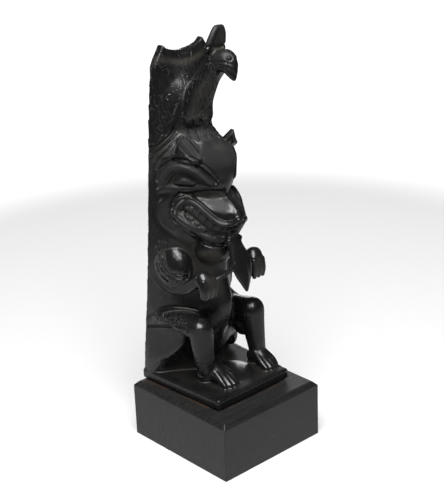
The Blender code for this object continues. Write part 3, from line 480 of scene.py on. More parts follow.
def add_wings(bm):
    """The folded wings behind the bird, thinning upwards to their scooped top edge."""
    tops = [(-19.3, 175.5), (-17.4, 179.4), (-15.2, 182.6), (-13.1, 186), (-11, 184), (-9, 183.2),
            (-6.5, 182.4), (-3.5, 181.8), (0, 181.5)]
    tops += [(-x, z) for x, z in reversed(tops[:-1])]
    feet = {0: -1, 3.5: 1.5, 6.5: 5.2, 9: 8, 11: 10.2, 13.1: 12.4, 15.2: 14.6, 17.4: 17, 19.3: 18.5}
    bmesh.ops.create_grid(bm, x_segments=len(tops) - 1, y_segments=8, size=1)
    columns = sorted({round(v.co.x, 4) for v in bm.verts})
    for v in bm.verts:
        x, top = tops[columns.index(round(v.co.x, 4))]
        rise = (v.co.y + 1) / 2
        front = feet[abs(x)]
        depth = front + (WING_TOP_FRONT - front) * rise ** 0.75
        v.co = (x, depth, WING_FOOT + (top - WING_FOOT) * rise)
    grown = bmesh.ops.extrude_face_region(bm, geom=bm.faces[:])["geom"]
    for v in grown:
        if isinstance(v, bmesh.types.BMVert):
            v.co.y = WING_BACK
    bmesh.ops.recalc_face_normals(bm, faces=bm.faces[:])


def add_bird(bm):
    """The bird's neck, head, hooked beak and crest."""
    add_roll(bm, [(0, 9.5, 149, 10, 9, 8), (0, 7, 156, 9, 7, 7), (0, 2.6, 164, 7.4, 6.5, 8),
                  (0, -3.8, 173, 5.6, 6, 7), (0, -9.5, 179, 6, 6, 6)], AS_DRAWN)
    add_ball(bm, (0, -11.2, 180.2), (6.3, 6.8, 6.2))
    add_roll(bm, [(0, -12.6, 180.5, 6, 6, 5.8), (0, -15.8, 180.7, 5.4, 5.8, 6), (0, -18.2, 179, 4, 4.7, 5),
                  (0, -19.5, 176.2, 2.9, 3.3, 3.6), (0, -20.5, 174, 1.8, 2.1, 2.3),
                  (0, -21.1, 172.6, 1.1, 1.3, 1.3)], AS_DRAWN)
    add_roll(bm, [(-6.6, -9.6, 187, 1.9), (-3.9, -10.4, 193, 1.7), (-1.4, -10.4, 196.3, 1.6),
                  (0.6, -10.4, 196.6, 1.5), (2.6, -10.4, 196.3, 1.6)], AS_DRAWN)
    add_roll(bm, [(2.6, -10.4, 196.3, 1.6), (3.3, -10.4, 193, 1.7), (3.2, -9.6, 186.5, 1.9)], AS_DRAWN)
    add_roll(bm, [(-1.8, -8.8, 186, 6, 2.4, 3), (-0.4, -9.8, 192, 4.4, 1.3, 3),
                  (0.6, -9.8, 195.2, 2.6, 1.2, 1.8)], AS_DRAWN)


def add_slab(bm):
    """The flat slab under the bear, wider at the back, with softened edges and a low swell on top."""
    corners = [(SLAB_FRONT, -SLAB_DEPTH), (SLAB_BACK, SLAB_DEPTH)]
    corners += [(-x, y) for x, y in reversed(corners)]
    face = bm.faces.new([bm.verts.new((x, y, 0)) for x, y in corners])
    grown = bmesh.ops.extrude_face_region(bm, geom=[face])["geom"]
    moved = [v for v in grown if isinstance(v, bmesh.types.BMVert)]
    bmesh.ops.translate(bm, verts=moved, vec=(0, 0, SLAB_THICKNESS))
    bmesh.ops.recalc_face_normals(bm, faces=bm.faces[:])
    front = [e for e in bm.edges if sum(v.co.y for v in e.verts) < SLAB_DEPTH]
    bmesh.ops.bevel(bm, geom=front, offset=SLAB_ROUNDING, segments=3, profile=0.5, affect="EDGES",
                    material=-1)
    add_ball(bm, (3, -9, 4), (14, 15, 3.8))


def drawn(co):
    """Places of points in the drawing plane, across and up, in carving units."""
    x, y, z = -np.abs(co[:, 0]), co[:, 1], co[:, 2]
    across = math.cos(VIEW_TURN) * x - math.sin(VIEW_TURN) * y
    depth = math.sin(VIEW_TURN) * x + math.cos(VIEW_TURN) * y
    return np.stack((across, math.sin(VIEW_TIP) * depth + math.cos(VIEW_TIP) * z), axis=1)


def seen(normals, co):
    """How squarely each point faces the viewer of the drawing plane, 0 to 1."""
    side = np.where(co[:, 0] > 0, 1, -1)
    facing = (math.sin(VIEW_TURN) * side * normals[:, 0] - math.cos(VIEW_TURN) * normals[:, 1])
    facing = math.cos(VIEW_TIP) * facing + math.sin(VIEW_TIP) * normals[:, 2]
    return np.clip(facing / FACING_FADE, 0, 1)


def nearest(places, path):
    """Distance from each place to a path of straight runs, how far along that is, and on which side."""
    best = np.full(len(places), 1e9)
    reach = np.zeros(len(places))
    sign = np.ones(len(places))
    start = 0.0
    for a, b in zip(path, path[1:]):
        a, b = np.array(a, float), np.array(b, float)
        run = b - a
        length = float(np.linalg.norm(run))
        along = np.clip(((places - a) @ run) / max(run @ run, 1e-9), 0, 1)
        gap = places - a - along[:, None] * run
        off = np.linalg.norm(gap, axis=1)
        closer = off < best
        best = np.where(closer, off, best)
        reach = np.where(closer, start + along * length, reach)
        sign = np.where(closer, np.sign(run[0] * gap[:, 1] - run[1] * gap[:, 0]), sign)
        start += length
    return best, reach, sign


def inside(places, outline):
    """Whether each place is within a closed outline."""
    within = np.zeros(len(places), bool)
    for (ax, ay), (bx, by) in zip(outline, outline[1:] + outline[:1]):
        spans = (ay > places[:, 1]) != (by > places[:, 1])
        crossing = ax + (places[:, 1] - ay) * (bx - ax) / ((by - ay) or 1e-9)
        within ^= spans & (places[:, 0] < crossing)
    return within


def close_to(places, path, margin):
    """Which places lie in the box round a path."""
    low = np.min(np.array(path), axis=0) - margin
    high = np.max(np.array(path), axis=0) + margin
    return np.all((places >= low) & (places <= high), axis=1)


def area_depth(places, outline, slope):
    """0 outside an outline, rising over its slope to 1 inside."""
    out = np.zeros(len(places))
    pick = close_to(places, outline, 0.1)
    some = places[pick]
    depth = np.clip(nearest(some, outline + outline[:1])[0] / slope, 0, 1)
    out[pick] = np.where(inside(some, outline), depth * depth * (3 - 2 * depth), 0)
    return out


def patches(co, normals, outlines):
    """How strongly each point lies in any of the patches."""
    places, facing = drawn(co), seen(normals, co)
    shade = np.zeros(len(co))
    for slope, strength, outline in outlines.values():
        shade = np.maximum(shade, strength * area_depth(places, outline, slope))
    return shade * facing


def relief(co, normals):
    """Height of the carved lines and areas at each point, in carving units."""
    places, facing = drawn(co), seen(normals, co)
    height = np.zeros(len(co))
    for slope, rise, outline in AREAS.values():
        height += rise * area_depth(places, outline, slope)
    for outline in TEETH:
        height += TOOTH_RISE * area_depth(places, outline, TOOTH_SLOPE)
    for half, rise, line in LINES.values():
        path = spaced(line, 4 * len(line))
        pick = close_to(places, path, half)
        off = np.clip(nearest(places[pick], path)[0] / half, 0, 1)
        height[pick] += rise * (1 - off * off) ** 2
    return height * facing


def cut_rows(co, normals):
    """Along and across the rows of short cuts at each point, and how strongly they show there."""
    places, facing = drawn(co), seen(normals, co)
    rows = np.zeros((len(co), 3), np.float32)
    ragged = np.zeros(len(co), np.float32)
    for number, (outline, guide, spacing, length, depth, rough) in enumerate(CUTS.values()):
        path = spaced(guide, 12)
        pick = np.flatnonzero(close_to(places, outline, 0.1))
        some = places[pick]
        strength = area_depth(some, outline, CUT_FADE) * facing[pick]
        first, last = np.array(path[1]) - np.array(path[0]), np.array(path[-1]) - np.array(path[-2])
        long_path = [np.array(path[0]) - first * GUIDE_REACH, *path, np.array(path[-1]) + last * GUIDE_REACH]
        off, reach, sign = nearest(some, long_path)
        better = strength > rows[pick, 2]
        hit = pick[better]
        rows[hit, 0] = reach[better] / length + 31 * number
        rows[hit, 1] = (off * sign)[better] / spacing + 57 * number
        rows[hit, 2] = strength[better] * depth
        ragged[hit] = rough
    return rows, ragged


def hollows(mesh, co, normals, passes):
    """How far the surface lies below its smoothed self at each point, in metres."""
    count = len(co)
    edges = np.empty(len(mesh.edges) * 2, np.int32)
    mesh.edges.foreach_get("vertices", edges)
    a, b = edges[0::2], edges[1::2]
    degree = np.maximum(np.bincount(a, minlength=count) + np.bincount(b, minlength=count), 1)
    smooth = co.copy()
    for _ in range(passes):
        total = np.stack([np.bincount(a, smooth[b, k], count) + np.bincount(b, smooth[a, k], count)
                          for k in range(3)], axis=1)
        smooth = 0.5 * smooth + 0.5 * total / degree[:, None]
    return np.einsum("ij,ij->i", smooth - co, normals)


def make_object(name, bm):
    """Writes a bmesh to a new object in the scene."""
    mesh = bpy.data.meshes.new(name)
    bm.to_mesh(mesh)
    bm.free()
    thing = bpy.data.objects.new(name, mesh)
    bpy.context.scene.collection.objects.link(thing)
    return thing


def bake(thing):
    """Puts an object's evaluated surface in place of its mesh and modifiers."""
    bpy.context.view_layer.update()
    graph = bpy.context.evaluated_depsgraph_get()
    old = thing.data
    mesh = bpy.data.meshes.new_from_object(thing.evaluated_get(graph))
    thing.modifiers.clear()
    thing.data = mesh
    bpy.data.meshes.remove(old)
    mesh.name = thing.name
    return mesh


def points(mesh):
    """The places and normals of a mesh's points."""
    count = len(mesh.vertices)
    co, normals = np.empty(count * 3), np.empty(count * 3)
    mesh.vertices.foreach_get("co", co)
    mesh.vertices.foreach_get("normal", normals)
    return co.reshape(-1, 3), normals.reshape(-1, 3)


def in_units(co):
    """Places in the carving's own units and frame."""
    return (co - np.array((0, SETBACK, BASE))) / UNIT


def smooth_shaded(mesh):
    """Shades every face of a mesh smooth."""
    mesh.polygons.foreach_set("use_smooth", np.ones(len(mesh.polygons), bool))


def node(tree, kind, **values):
    """A shader node with its settings and unlinked inputs given by name."""
    made = tree.nodes.new(kind)
    for name, value in values.items():
        if name in made.inputs:
            made.inputs[name].default_value = value
        else:
            setattr(made, name, value)
    return made


def sum_node(tree, operation, a, b=None, c=None):
    """A Math node from numbers and sockets, giving its output."""
    made = tree.nodes.new("ShaderNodeMath")
    made.operation = operation
    for slot, value in zip(made.inputs, (a, b, c)):
        if isinstance(value, (int, float)):
            slot.default_value = value
        elif value is not None:
            tree.links.new(value, slot)
    return made.outputs[0]


def ramp(tree, value, low, high, start=0.0, end=1.0):
    """A smooth step of a value between two marks."""
    made = tree.nodes.new("ShaderNodeMapRange")
    made.interpolation_type = "SMOOTHSTEP"
    made.inputs["From Min"].default_value = low
    made.inputs["From Max"].default_value = high
    made.inputs["To Min"].default_value = start
    made.inputs["To Max"].default_value = end
    tree.links.new(value, made.inputs["Value"])
    return made.outputs["Result"]


def mix_colour(tree, factor, a, b):
    """A blend of two colours, each a value or a socket."""
    made = tree.nodes.new("ShaderNodeMix")
    made.data_type = "RGBA"
    sockets = {s.identifier: s for s in made.inputs}
    for name, value in (("Factor_Float", factor), ("A_Color", a), ("B_Color", b)):
        if isinstance(value, bpy.types.NodeSocket):
            tree.links.new(value, sockets[name])
        else:
            sockets[name].default_value = value
    return next(s for s in made.outputs if s.identifier == "Result_Color")


def new_group(name, inputs, outputs):
    """A shader node group with named inputs and outputs."""
    group = bpy.data.node_groups.new(name, "ShaderNodeTree")
    for label, kind, value in inputs:
        socket = group.interface.new_socket(name=label, in_out="INPUT", socket_type=kind)
        if value is not None:
            socket.default_value = value
    for label, kind in outputs:
        group.interface.new_socket(name=label, in_out="OUTPUT", socket_type=kind)
    return group, group.nodes.new("NodeGroupInput"), group.nodes.new("NodeGroupOutput")


def cut_group():
    """Short tapering cuts in staggered rows, from coordinates along and across the rows."""
    group, start, end = new_group(
        "Knife cuts",
        [("Rows", "NodeSocketVector", None), ("Ragged", "NodeSocketFloat", 0.5)],
        [("Depth", "NodeSocketFloat")])
    split = node(group, "ShaderNodeSeparateXYZ")
    group.links.new(start.outputs["Rows"], split.inputs[0])
    along, across, strength = split.outputs
    ragged = start.outputs["Ragged"]
    wave = node(group, "ShaderNodeTexNoise", noise_dimensions="2D", Scale=0.9, Detail=1.0)
    joined = node(group, "ShaderNodeCombineXYZ")
    group.links.new(along, joined.inputs[0])
    group.links.new(across, joined.inputs[1])
    group.links.new(joined.outputs[0], wave.inputs["Vector"])
    sway = sum_node(group, "MULTIPLY", sum_node(group, "SUBTRACT", wave.outputs["Fac"], 0.5), ragged)
    across = sum_node(group, "MULTIPLY_ADD", sway, 2.2, across)
    row = sum_node(group, "FLOOR", across)
    shift = node(group, "ShaderNodeTexWhiteNoise", noise_dimensions="1D")
    group.links.new(row, shift.inputs["W"])
    along = sum_node(group, "MULTIPLY_ADD", shift.outputs["Value"], 3.7, along)
    cell = sum_node(group, "FLOOR", along)
    pair = node(group, "ShaderNodeCombineXYZ")
    group.links.new(row, pair.inputs[0])
    group.links.new(cell, pair.inputs[1])
    luck = node(group, "ShaderNodeTexWhiteNoise", noise_dimensions="2D")
    group.links.new(pair.outputs[0], luck.inputs["Vector"])
    side = sum_node(group, "ABSOLUTE", sum_node(group, "SUBTRACT", sum_node(group, "FRACT", across), 0.5))
    onward = sum_node(group, "ABSOLUTE", sum_node(group, "SUBTRACT", sum_node(group, "FRACT", along), 0.5))
    width = sum_node(group, "MULTIPLY_ADD", luck.outputs["Value"], 0.12, 0.2)
    body = sum_node(group, "SUBTRACT", 1.0, sum_node(group, "DIVIDE", side, width))
    body = ramp(group, body, 0.0, 0.9)
    taper = ramp(group, onward, 0.28, 0.48, 1.0, 0.0)
    kept = sum_node(group, "SUBTRACT", 1.0, sum_node(group, "MULTIPLY", luck.outputs["Value"], ragged))
    depth = sum_node(group, "MULTIPLY", sum_node(group, "MULTIPLY", body, taper), kept)
    group.links.new(sum_node(group, "MULTIPLY", depth, strength), end.inputs["Depth"])
    return group


def wear_group():
    """Fine scratches and a soft cloud, both from places on the piece."""
    group, start, end = new_group(
        "Rubbed surface",
        [("Place", "NodeSocketVector", None), ("Cloud Scale", "NodeSocketFloat", 60.0),
         ("Mark Scale", "NodeSocketFloat", 900.0)],
        [("Cloud", "NodeSocketFloat"), ("Marks", "NodeSocketFloat")])
    cloud = node(group, "ShaderNodeTexNoise", Detail=5.0, Roughness=0.6)
    group.links.new(start.outputs["Place"], cloud.inputs["Vector"])
    group.links.new(start.outputs["Cloud Scale"], cloud.inputs["Scale"])
    group.links.new(cloud.outputs["Fac"], end.inputs["Cloud"])
    marks = node(group, "ShaderNodeTexNoise", Detail=3.0, Roughness=0.7)
    stretch = node(group, "ShaderNodeMapping")
    stretch.inputs["Scale"].default_value = (1.0, 1.0, 0.25)
    stretch.inputs["Rotation"].default_value = (0.5, 0.3, 0.0)
    group.links.new(start.outputs["Place"], stretch.inputs["Vector"])
    group.links.new(stretch.outputs[0], marks.inputs["Vector"])
    group.links.new(start.outputs["Mark Scale"], marks.inputs["Scale"])
    group.links.new(marks.outputs["Fac"], end.inputs["Marks"])
    return group


def new_material(name):
    """An empty node material and its shader."""
    material = bpy.data.materials.new(name)
    material.use_nodes = True
    return material, material.node_tree, material.node_tree.nodes["Principled BSDF"]


def attribute(tree, name, output="Fac"):
    """A value that the mesh stores on its points."""
    return node(tree, "ShaderNodeAttribute", attribute_name=name).outputs[output]


def rubbed_surface(tree, wear, cloud_scale, mark_scale):
    """The places on a piece, and the soft cloud and fine marks there."""
    place = node(tree, "ShaderNodeTexCoord").outputs["Object"]
    rubbed = node(tree, "ShaderNodeGroup", node_tree=wear)
    rubbed.inputs["Cloud Scale"].default_value = cloud_scale
    rubbed.inputs["Mark Scale"].default_value = mark_scale
    tree.links.new(place, rubbed.inputs["Place"])
    return place, rubbed.outputs["Cloud"], rubbed.outputs["Marks"]


def wire(tree, shader, colour, rough, height, strength, distance):
    """Links colour, roughness and the bump of a height to a shader."""
    bump = node(tree, "ShaderNodeBump", Strength=strength, Distance=distance)
    tree.links.new(colour, shader.inputs["Base Color"])
    tree.links.new(rough, shader.inputs["Roughness"])
    tree.links.new(height, bump.inputs["Height"])
    tree.links.new(bump.outputs["Normal"], shader.inputs["Normal"])


def stone_material(finish, cuts, wear):
    """Black stone: polished on its high places, dusty olive grey in its hollows and cuts."""
    _, tree, shader = new_material("polished_black_stone")
    _, cloud, marks = rubbed_surface(tree, wear, 55.0, 1400.0)
    knife = node(tree, "ShaderNodeGroup", node_tree=cuts)
    tree.links.new(attribute(tree, "cut_rows", "Vector"), knife.inputs["Rows"])
    tree.links.new(attribute(tree, "cut_ragged"), knife.inputs["Ragged"])
    cut = knife.outputs["Depth"]
    dust = sum_node(tree, "MULTIPLY", attribute(tree, "hollow"), ramp(tree, cloud, 0.3, 0.62, 0.1, 0.8))
    dust = sum_node(tree, "MAXIMUM", dust, sum_node(tree, "MULTIPLY", attribute(tree, "dust"),
                                                    ramp(tree, cloud, 0.3, 0.65, 0.35, 1.0)))
    pale_patch = sum_node(tree, "MULTIPLY", attribute(tree, "grey"), ramp(tree, cloud, 0.25, 0.7, 0.7, 1.0))
    black = mix_colour(tree, ramp(tree, cloud, 0.3, 0.7), tuple(finish.stone), tuple(finish.stone_vein))
    colour = mix_colour(tree, pale_patch, black, tuple(finish.rubbed))
    colour = mix_colour(tree, dust, colour, tuple(finish.dust))
    powder = mix_colour(tree, pale_patch, tuple(finish.cut), tuple(finish.stone))
    colour = mix_colour(tree, sum_node(tree, "MULTIPLY", cut, 0.75), colour, powder)
    rough = sum_node(tree, "MULTIPLY_ADD", sum_node(tree, "MAXIMUM", dust, pale_patch), 0.45, finish.polish)
    unpolished = sum_node(tree, "MULTIPLY_ADD", attribute(tree, "dull"), 0.7, finish.polish)
    rough = sum_node(tree, "MAXIMUM", rough, unpolished)
    rough = sum_node(tree, "MULTIPLY_ADD", sum_node(tree, "SUBTRACT", marks, 0.5), 0.22, rough)
    rough = sum_node(tree, "MULTIPLY_ADD", cut, 0.15, rough)
    height = sum_node(tree, "MULTIPLY_ADD", cut, -1.0, sum_node(tree, "MULTIPLY", marks, 0.06))
    height = sum_node(tree, "MULTIPLY_ADD", cloud, 0.5, height)
    wire(tree, shader, colour, rough, height, 0.8, 0.00032)
    shader.inputs["IOR"].default_value = 1.5
    shader.inputs["Specular IOR Level"].default_value = 0.5


def plinth_material(finish, wear):
    """Stained hardwood: satin near-black with faint grain, and a painted highlight along the chamfer's edges.
    """
    _, tree, shader = new_material("stained_plinth_wood")
    place, cloud, marks = rubbed_surface(tree, wear, 40.0, 1100.0)
    stretch = node(tree, "ShaderNodeMapping")
    stretch.inputs["Scale"].default_value = (0.06, 1.0, 1.0)
    tree.links.new(place, stretch.inputs["Vector"])
    grain = node(tree, "ShaderNodeTexNoise", Scale=700.0, Detail=4.0, Roughness=0.65)
    tree.links.new(stretch.outputs[0], grain.inputs["Vector"])
    fibre = ramp(tree, grain.outputs["Fac"], 0.35, 0.7)
    base = mix_colour(tree, sum_node(tree, "MULTIPLY", fibre, 0.6), tuple(finish.stain),
                      tuple(finish.stain_grain))
    # Painted highlight: paler strips along both edges of the chamfer.
    pale_patch = sum_node(tree, "MULTIPLY", attribute(tree, "edge_wear"), ramp(tree, cloud, 0.35, 0.65))
    base = mix_colour(tree, sum_node(tree, "MULTIPLY", pale_patch, 0.5), base, tuple(finish.painted_edge_highlight))
    bare = sum_node(tree, "MULTIPLY", attribute(tree, "bare_seam"), ramp(tree, cloud, 0.42, 0.58))
    base = mix_colour(tree, bare, base, tuple(finish.bare_wood))
    rough = sum_node(tree, "MULTIPLY_ADD", fibre, 0.1, finish.plinth_polish)
    rough = sum_node(tree, "MULTIPLY_ADD", sum_node(tree, "SUBTRACT", marks, 0.5), 0.15, rough)
    rough = sum_node(tree, "MULTIPLY_ADD", attribute(tree, "chamfered"), -0.2, rough)
    height = sum_node(tree, "MULTIPLY_ADD", marks, 0.6, sum_node(tree, "MULTIPLY", fibre, -0.5))
    wire(tree, shader, base, rough, height, 1.0, 0.00012)


def length_value(name, description, default, **limits):
    """A length that a user may change."""
    return FloatProperty(name=name, description=description, default=default, unit="LENGTH",
                         subtype="DISTANCE", **limits)


def colour_value(name, description, default):
    """A colour that a user may change."""
    return FloatVectorProperty(name=name, description=description, default=(*default, 1.0), size=4,
                               subtype="COLOR", min=0.0, max=1.0)


def share_value(name, description, default):
    """A share from 0 to 1 that a user may change."""
    return FloatProperty(name=name, description=description, default=default, min=0.0, max=1.0,
                         subtype="FACTOR")


def angle_value(name, description, degrees):
    """An angle that a user may change."""
    return FloatProperty(name=name, description=description, default=math.radians(degrees), subtype="ANGLE")


def amount_value(name, description, default):
    """A plain number that a user may change."""
    return FloatProperty(name=name, description=description, default=default)


class CarvedPoleSizes(bpy.types.PropertyGroup):
    """How finely the carving is cut, and the plinth's edges."""

    grain: length_value("Carving grain", "Size of the steps in which the masses are melted together", 0.00045,
                        min=0.0002)
    smoothing: IntProperty(name="Smoothing passes", description="How often the melted skin is softened",
                           default=6, min=0)
    triangles: IntProperty(name="Carving triangles", description="Most triangles that the carving keeps",
                           default=192000)
    hollow_depth: length_value("Full hollow", "Depth at which a hollow counts as fully dusty", 0.0004)
    chamfer: length_value("Plinth chamfer", "Width of the chamfer round the plinth's top", 0.0024)
    edge_rounding: length_value("Plinth edge rounding", "Radius of the plinth's rubbed edges", 0.00035)


class CarvedPoleFinish(bpy.types.PropertyGroup):
    """Colours and polish of the stone and the plinth."""

    stone: colour_value("Stone", "Polished black stone", (0.0055, 0.0055, 0.006))
    stone_vein: colour_value("Stone cloud", "Slightly paler cloud in the stone", (0.010, 0.010, 0.0105))
    rubbed: colour_value("Rubbed stone", "Stone rubbed grey and left without polish", (0.017, 0.017, 0.017))
    dust: colour_value("Hollows", "Dusty unpolished stone in the hollows", (0.034, 0.032, 0.025))
    cut: colour_value("Cuts", "Stone powder left in the cuts", (0.036, 0.035, 0.033))
    polish: share_value("Polish", "Roughness of the polished stone", 0.27)
    stain: colour_value("Plinth stain", "Dark stain on the plinth", (0.012, 0.0118, 0.0118))
    stain_grain: colour_value("Plinth grain", "Paler grain of the plinth", (0.021, 0.0205, 0.0205))
    # Painted highlight: the paler colour of the strips along the chamfer's two edges.
    painted_edge_highlight: colour_value("Plinth edge", "Rubbed edge of the plinth", (0.021, 0.0205, 0.019))
    bare_wood: colour_value("Bare seam", "Bare wood along the slab's foot", (0.05, 0.026, 0.013))
    plinth_polish: share_value("Plinth polish", "Roughness of the plinth's satin stain", 0.42)


class CarvedPoleStage(bpy.types.PropertyGroup):
    """Camera and light."""

    azimuth: angle_value("Camera azimuth", "Turn of the camera round the pole, from its front", -41.9)
    elevation: angle_value("Camera elevation", "Height of the camera over the level", 21.88)
    roll: angle_value("Camera roll", "Lean of the camera about its own line of sight", -2.16)
    distance: length_value("Camera distance", "From the lens to the point looked at", 0.65113)
    lens: amount_value("Lens", "Focal length in millimetres", 89.0)
    target: FloatVectorProperty(name="Looked at", description="The point in the middle of the picture",
                                default=(0.00074, -0.00067, 0.11026), size=3, subtype="XYZ")
    surround: amount_value("Surround", "Strength of the surround that the stone mirrors", 0.05)
    paper: length_value("White paper", "How far round the pole the floor is white", 0.26)
    key_light: amount_value("Key light", "Power of the light above", 12.0)
    front_light: amount_value("Front light", "Power of the large light in front", 0.5)
    rim_light: amount_value("Rim light", "Power of the light behind on the right", 2.5)
    left_rim_light: amount_value("Left rim light", "Power of the light behind on the left", 1.2)


def masses():
    """The carving's masses before they are melted together, at real size and place."""
    bm = bmesh.new()
    for add in (add_body, add_snout, add_legs, add_arms, add_head, add_wings, add_bird, add_slab):
        part = bmesh.new()
        add(part)
        mesh = bpy.data.meshes.new("mass")
        part.to_mesh(mesh)
        part.free()
        bm.from_mesh(mesh)
        bpy.data.meshes.remove(mesh)
    place = Matrix.Translation((0, SETBACK, BASE)) @ Matrix.Scale(UNIT, 4)
    bmesh.ops.transform(bm, matrix=place, verts=bm.verts[:])
    return bm


def store(mesh, **layers):
    """Stores values on a mesh's points, each under its own name."""
    for name, values in layers.items():
        values = np.asarray(values, np.float32)
        kind, field = ("FLOAT_VECTOR", "vector") if values.ndim == 2 else ("FLOAT", "value")
        mesh.attributes.new(name, kind, "POINT").data.foreach_set(field, values.ravel())


class MESH_OT_carved_pole(bpy.types.Operator):
    """Models the bird and the bear in one piece with their slab"""

    bl_idname = "mesh.carved_pole"
    bl_label = "Carved pole"

    def execute(self, context):
        sizes = context.scene.carved_pole_sizes
        grain = sizes.grain * 1
        figure = make_object("pole_carving", masses())
        melt = figure.modifiers.new("Melt", "REMESH")
        melt.mode = "VOXEL"
        melt.voxel_size = grain
        soften = figure.modifiers.new("Soften", "SMOOTH")
        soften.factor = 0.5
        soften.iterations = sizes.smoothing
        mesh = bake(figure)
        co, normals = points(mesh)
        if not len(co):
            raise RuntimeError("the masses didn't melt into a skin")
        co += normals * (relief(in_units(co), normals) * UNIT)[:, None]
        mesh.vertices.foreach_set("co", np.clip(co, list(POLE_LOW), list(POLE_HIGH)).ravel())
        mesh.update()
        thin = figure.modifiers.new("Thin", "DECIMATE")
        thin.ratio = min(1.0, sizes.triangles / sum(len(p.vertices) - 2 for p in mesh.polygons))
        thin.use_collapse_triangulate = True
        mesh = bake(figure)
        co, normals = points(mesh)
        units = in_units(co)
        rows, ragged = cut_rows(units, normals)
        narrow = hollows(mesh, co, normals, NARROW_PASSES) / (0.35 * sizes.hollow_depth)
        wide = hollows(mesh, co, normals, WIDE_PASSES) / sizes.hollow_depth
        hollow = np.clip(0.5 * narrow + 0.6 * wide, 0, 1)
        hollow *= np.clip((units[:, 2] - CLEAN_HEIGHT) / CLEAN_HEIGHT, 0, 1)
        store(mesh, cut_rows=rows, cut_ragged=ragged, hollow=hollow, grey=patches(units, normals, GREY),
              dust=patches(units, normals, DUST), dull=patches(units, normals, DULL))
        smooth_shaded(mesh)
        mesh.materials.clear()
        mesh.materials.append(bpy.data.materials["polished_black_stone"])
        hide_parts("carved_pole")
        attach(figure, "root")
        return {"FINISHED"}


class MESH_OT_pole_plinth(bpy.types.Operator):
    """Models the plinth, chamfered round its top with rounded edges, and paints a highlight along the
    chamfer's edges
    """

    bl_idname = "mesh.pole_plinth"
    bl_label = "Plinth"

    def execute(self, context):
        sizes = context.scene.carved_pole_sizes
        low, high = Vector(PLINTH_LOW), Vector(PLINTH_HIGH)
        bm = bmesh.new()
        bmesh.ops.create_cube(bm, size=1)
        bmesh.ops.scale(bm, vec=high - low, verts=bm.verts[:])
        bmesh.ops.translate(bm, vec=(low + high) / 2, verts=bm.verts[:])
        top = [e for e in bm.edges if all(v.co.z > (low.z + high.z) / 2 for v in e.verts)]
        bmesh.ops.bevel(bm, geom=top, offset=sizes.chamfer, segments=1, profile=0.5, affect="EDGES",
                        material=-1)
        bmesh.ops.bevel(bm, geom=bm.edges[:], offset=sizes.edge_rounding, segments=2, profile=0.5,
                        affect="EDGES", material=-1)
        bmesh.ops.subdivide_edges(bm, edges=[e for e in bm.edges if e.calc_length() > 0.01], cuts=47,
                                  use_grid_fill=True)
        bmesh.ops.recalc_face_normals(bm, faces=bm.faces[:])
        block = make_object("plinth_block", bm)
        mesh = block.data
        co, normals = points(mesh)
        middle = np.array([(low.x + high.x) / 2, (low.y + high.y) / 2])
        half = np.array([(high.x - low.x) / 2, (high.y - low.y) / 2])
        rim = np.abs(co[:, :2] - middle) - (half - sizes.chamfer)
        on_top = co[:, 2] > high.z - TOP_DEPTH
        # Painted highlight strips: on the top beside the chamfer, and along the chamfer's foot.
        near_rim = np.clip(1 - np.abs(rim.max(axis=1)) / EDGE_HIGHLIGHT_WIDTH, 0, 1) * on_top
        outer = np.clip(1 - np.abs(co[:, 2] - (high.z - sizes.chamfer)) / EDGE_HIGHLIGHT_WIDTH, 0, 1)
        back = (co[:, 1] - POLE_LOW[1]) / (POLE_HIGH[1] - POLE_LOW[1])
        beside = np.abs(co[:, 0]) - (SLAB_FRONT + (SLAB_BACK - SLAB_FRONT) * back) * UNIT
        off_slab = np.maximum(beside, POLE_LOW[1] - co[:, 1])
        seam = np.clip(1 - np.abs(off_slab - SEAM_PLACE) / SEAM_WIDTH, 0, 1) * on_top
        slope = (co[:, 2] > high.z - sizes.chamfer + CHAMFER_MARGIN) & (normals[:, 2] < 0.95)
        store(mesh, edge_wear=np.maximum(near_rim, outer), bare_seam=seam, chamfered=slope)
        mesh.materials.append(bpy.data.materials["stained_plinth_wood"])
        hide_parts("plinth")
        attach(block, "root")
        return {"FINISHED"}


class SCENE_OT_pole_finishes(bpy.types.Operator):
    """Makes the stone and the plinth's stain"""

    bl_idname = "scene.pole_finishes"
    bl_label = "Finishes"

    def execute(self, context):
        finish = context.scene.carved_pole_finish
        wear = wear_group()
        stone_material(finish, cut_group(), wear)
        plinth_material(finish, wear)
        return {"FINISHED"}


def outward(azimuth, elevation):
    """The way out from the pole at a turn round it, from its front, and a height, in radians."""
    level = math.cos(elevation)
    return Vector((math.sin(azimuth) * level, -math.cos(azimuth) * level, math.sin(elevation)))


def add_area_light(name, azimuth, elevation, size, power, away):
    """A square soft light that faces the pole from a turn and a height in degrees."""
    way = outward(math.radians(azimuth), math.radians(elevation))
    light = bpy.data.lights.new(name, "AREA")
    light.shape = "SQUARE"
    light.size = size
    light.energy = power
    holder = bpy.data.objects.new(name, light)
    bpy.context.scene.collection.objects.link(holder)
    holder.location = Vector(LIGHTS_AIM) + way * away
    holder.rotation_euler = way.to_track_quat("Z", "Y").to_euler()


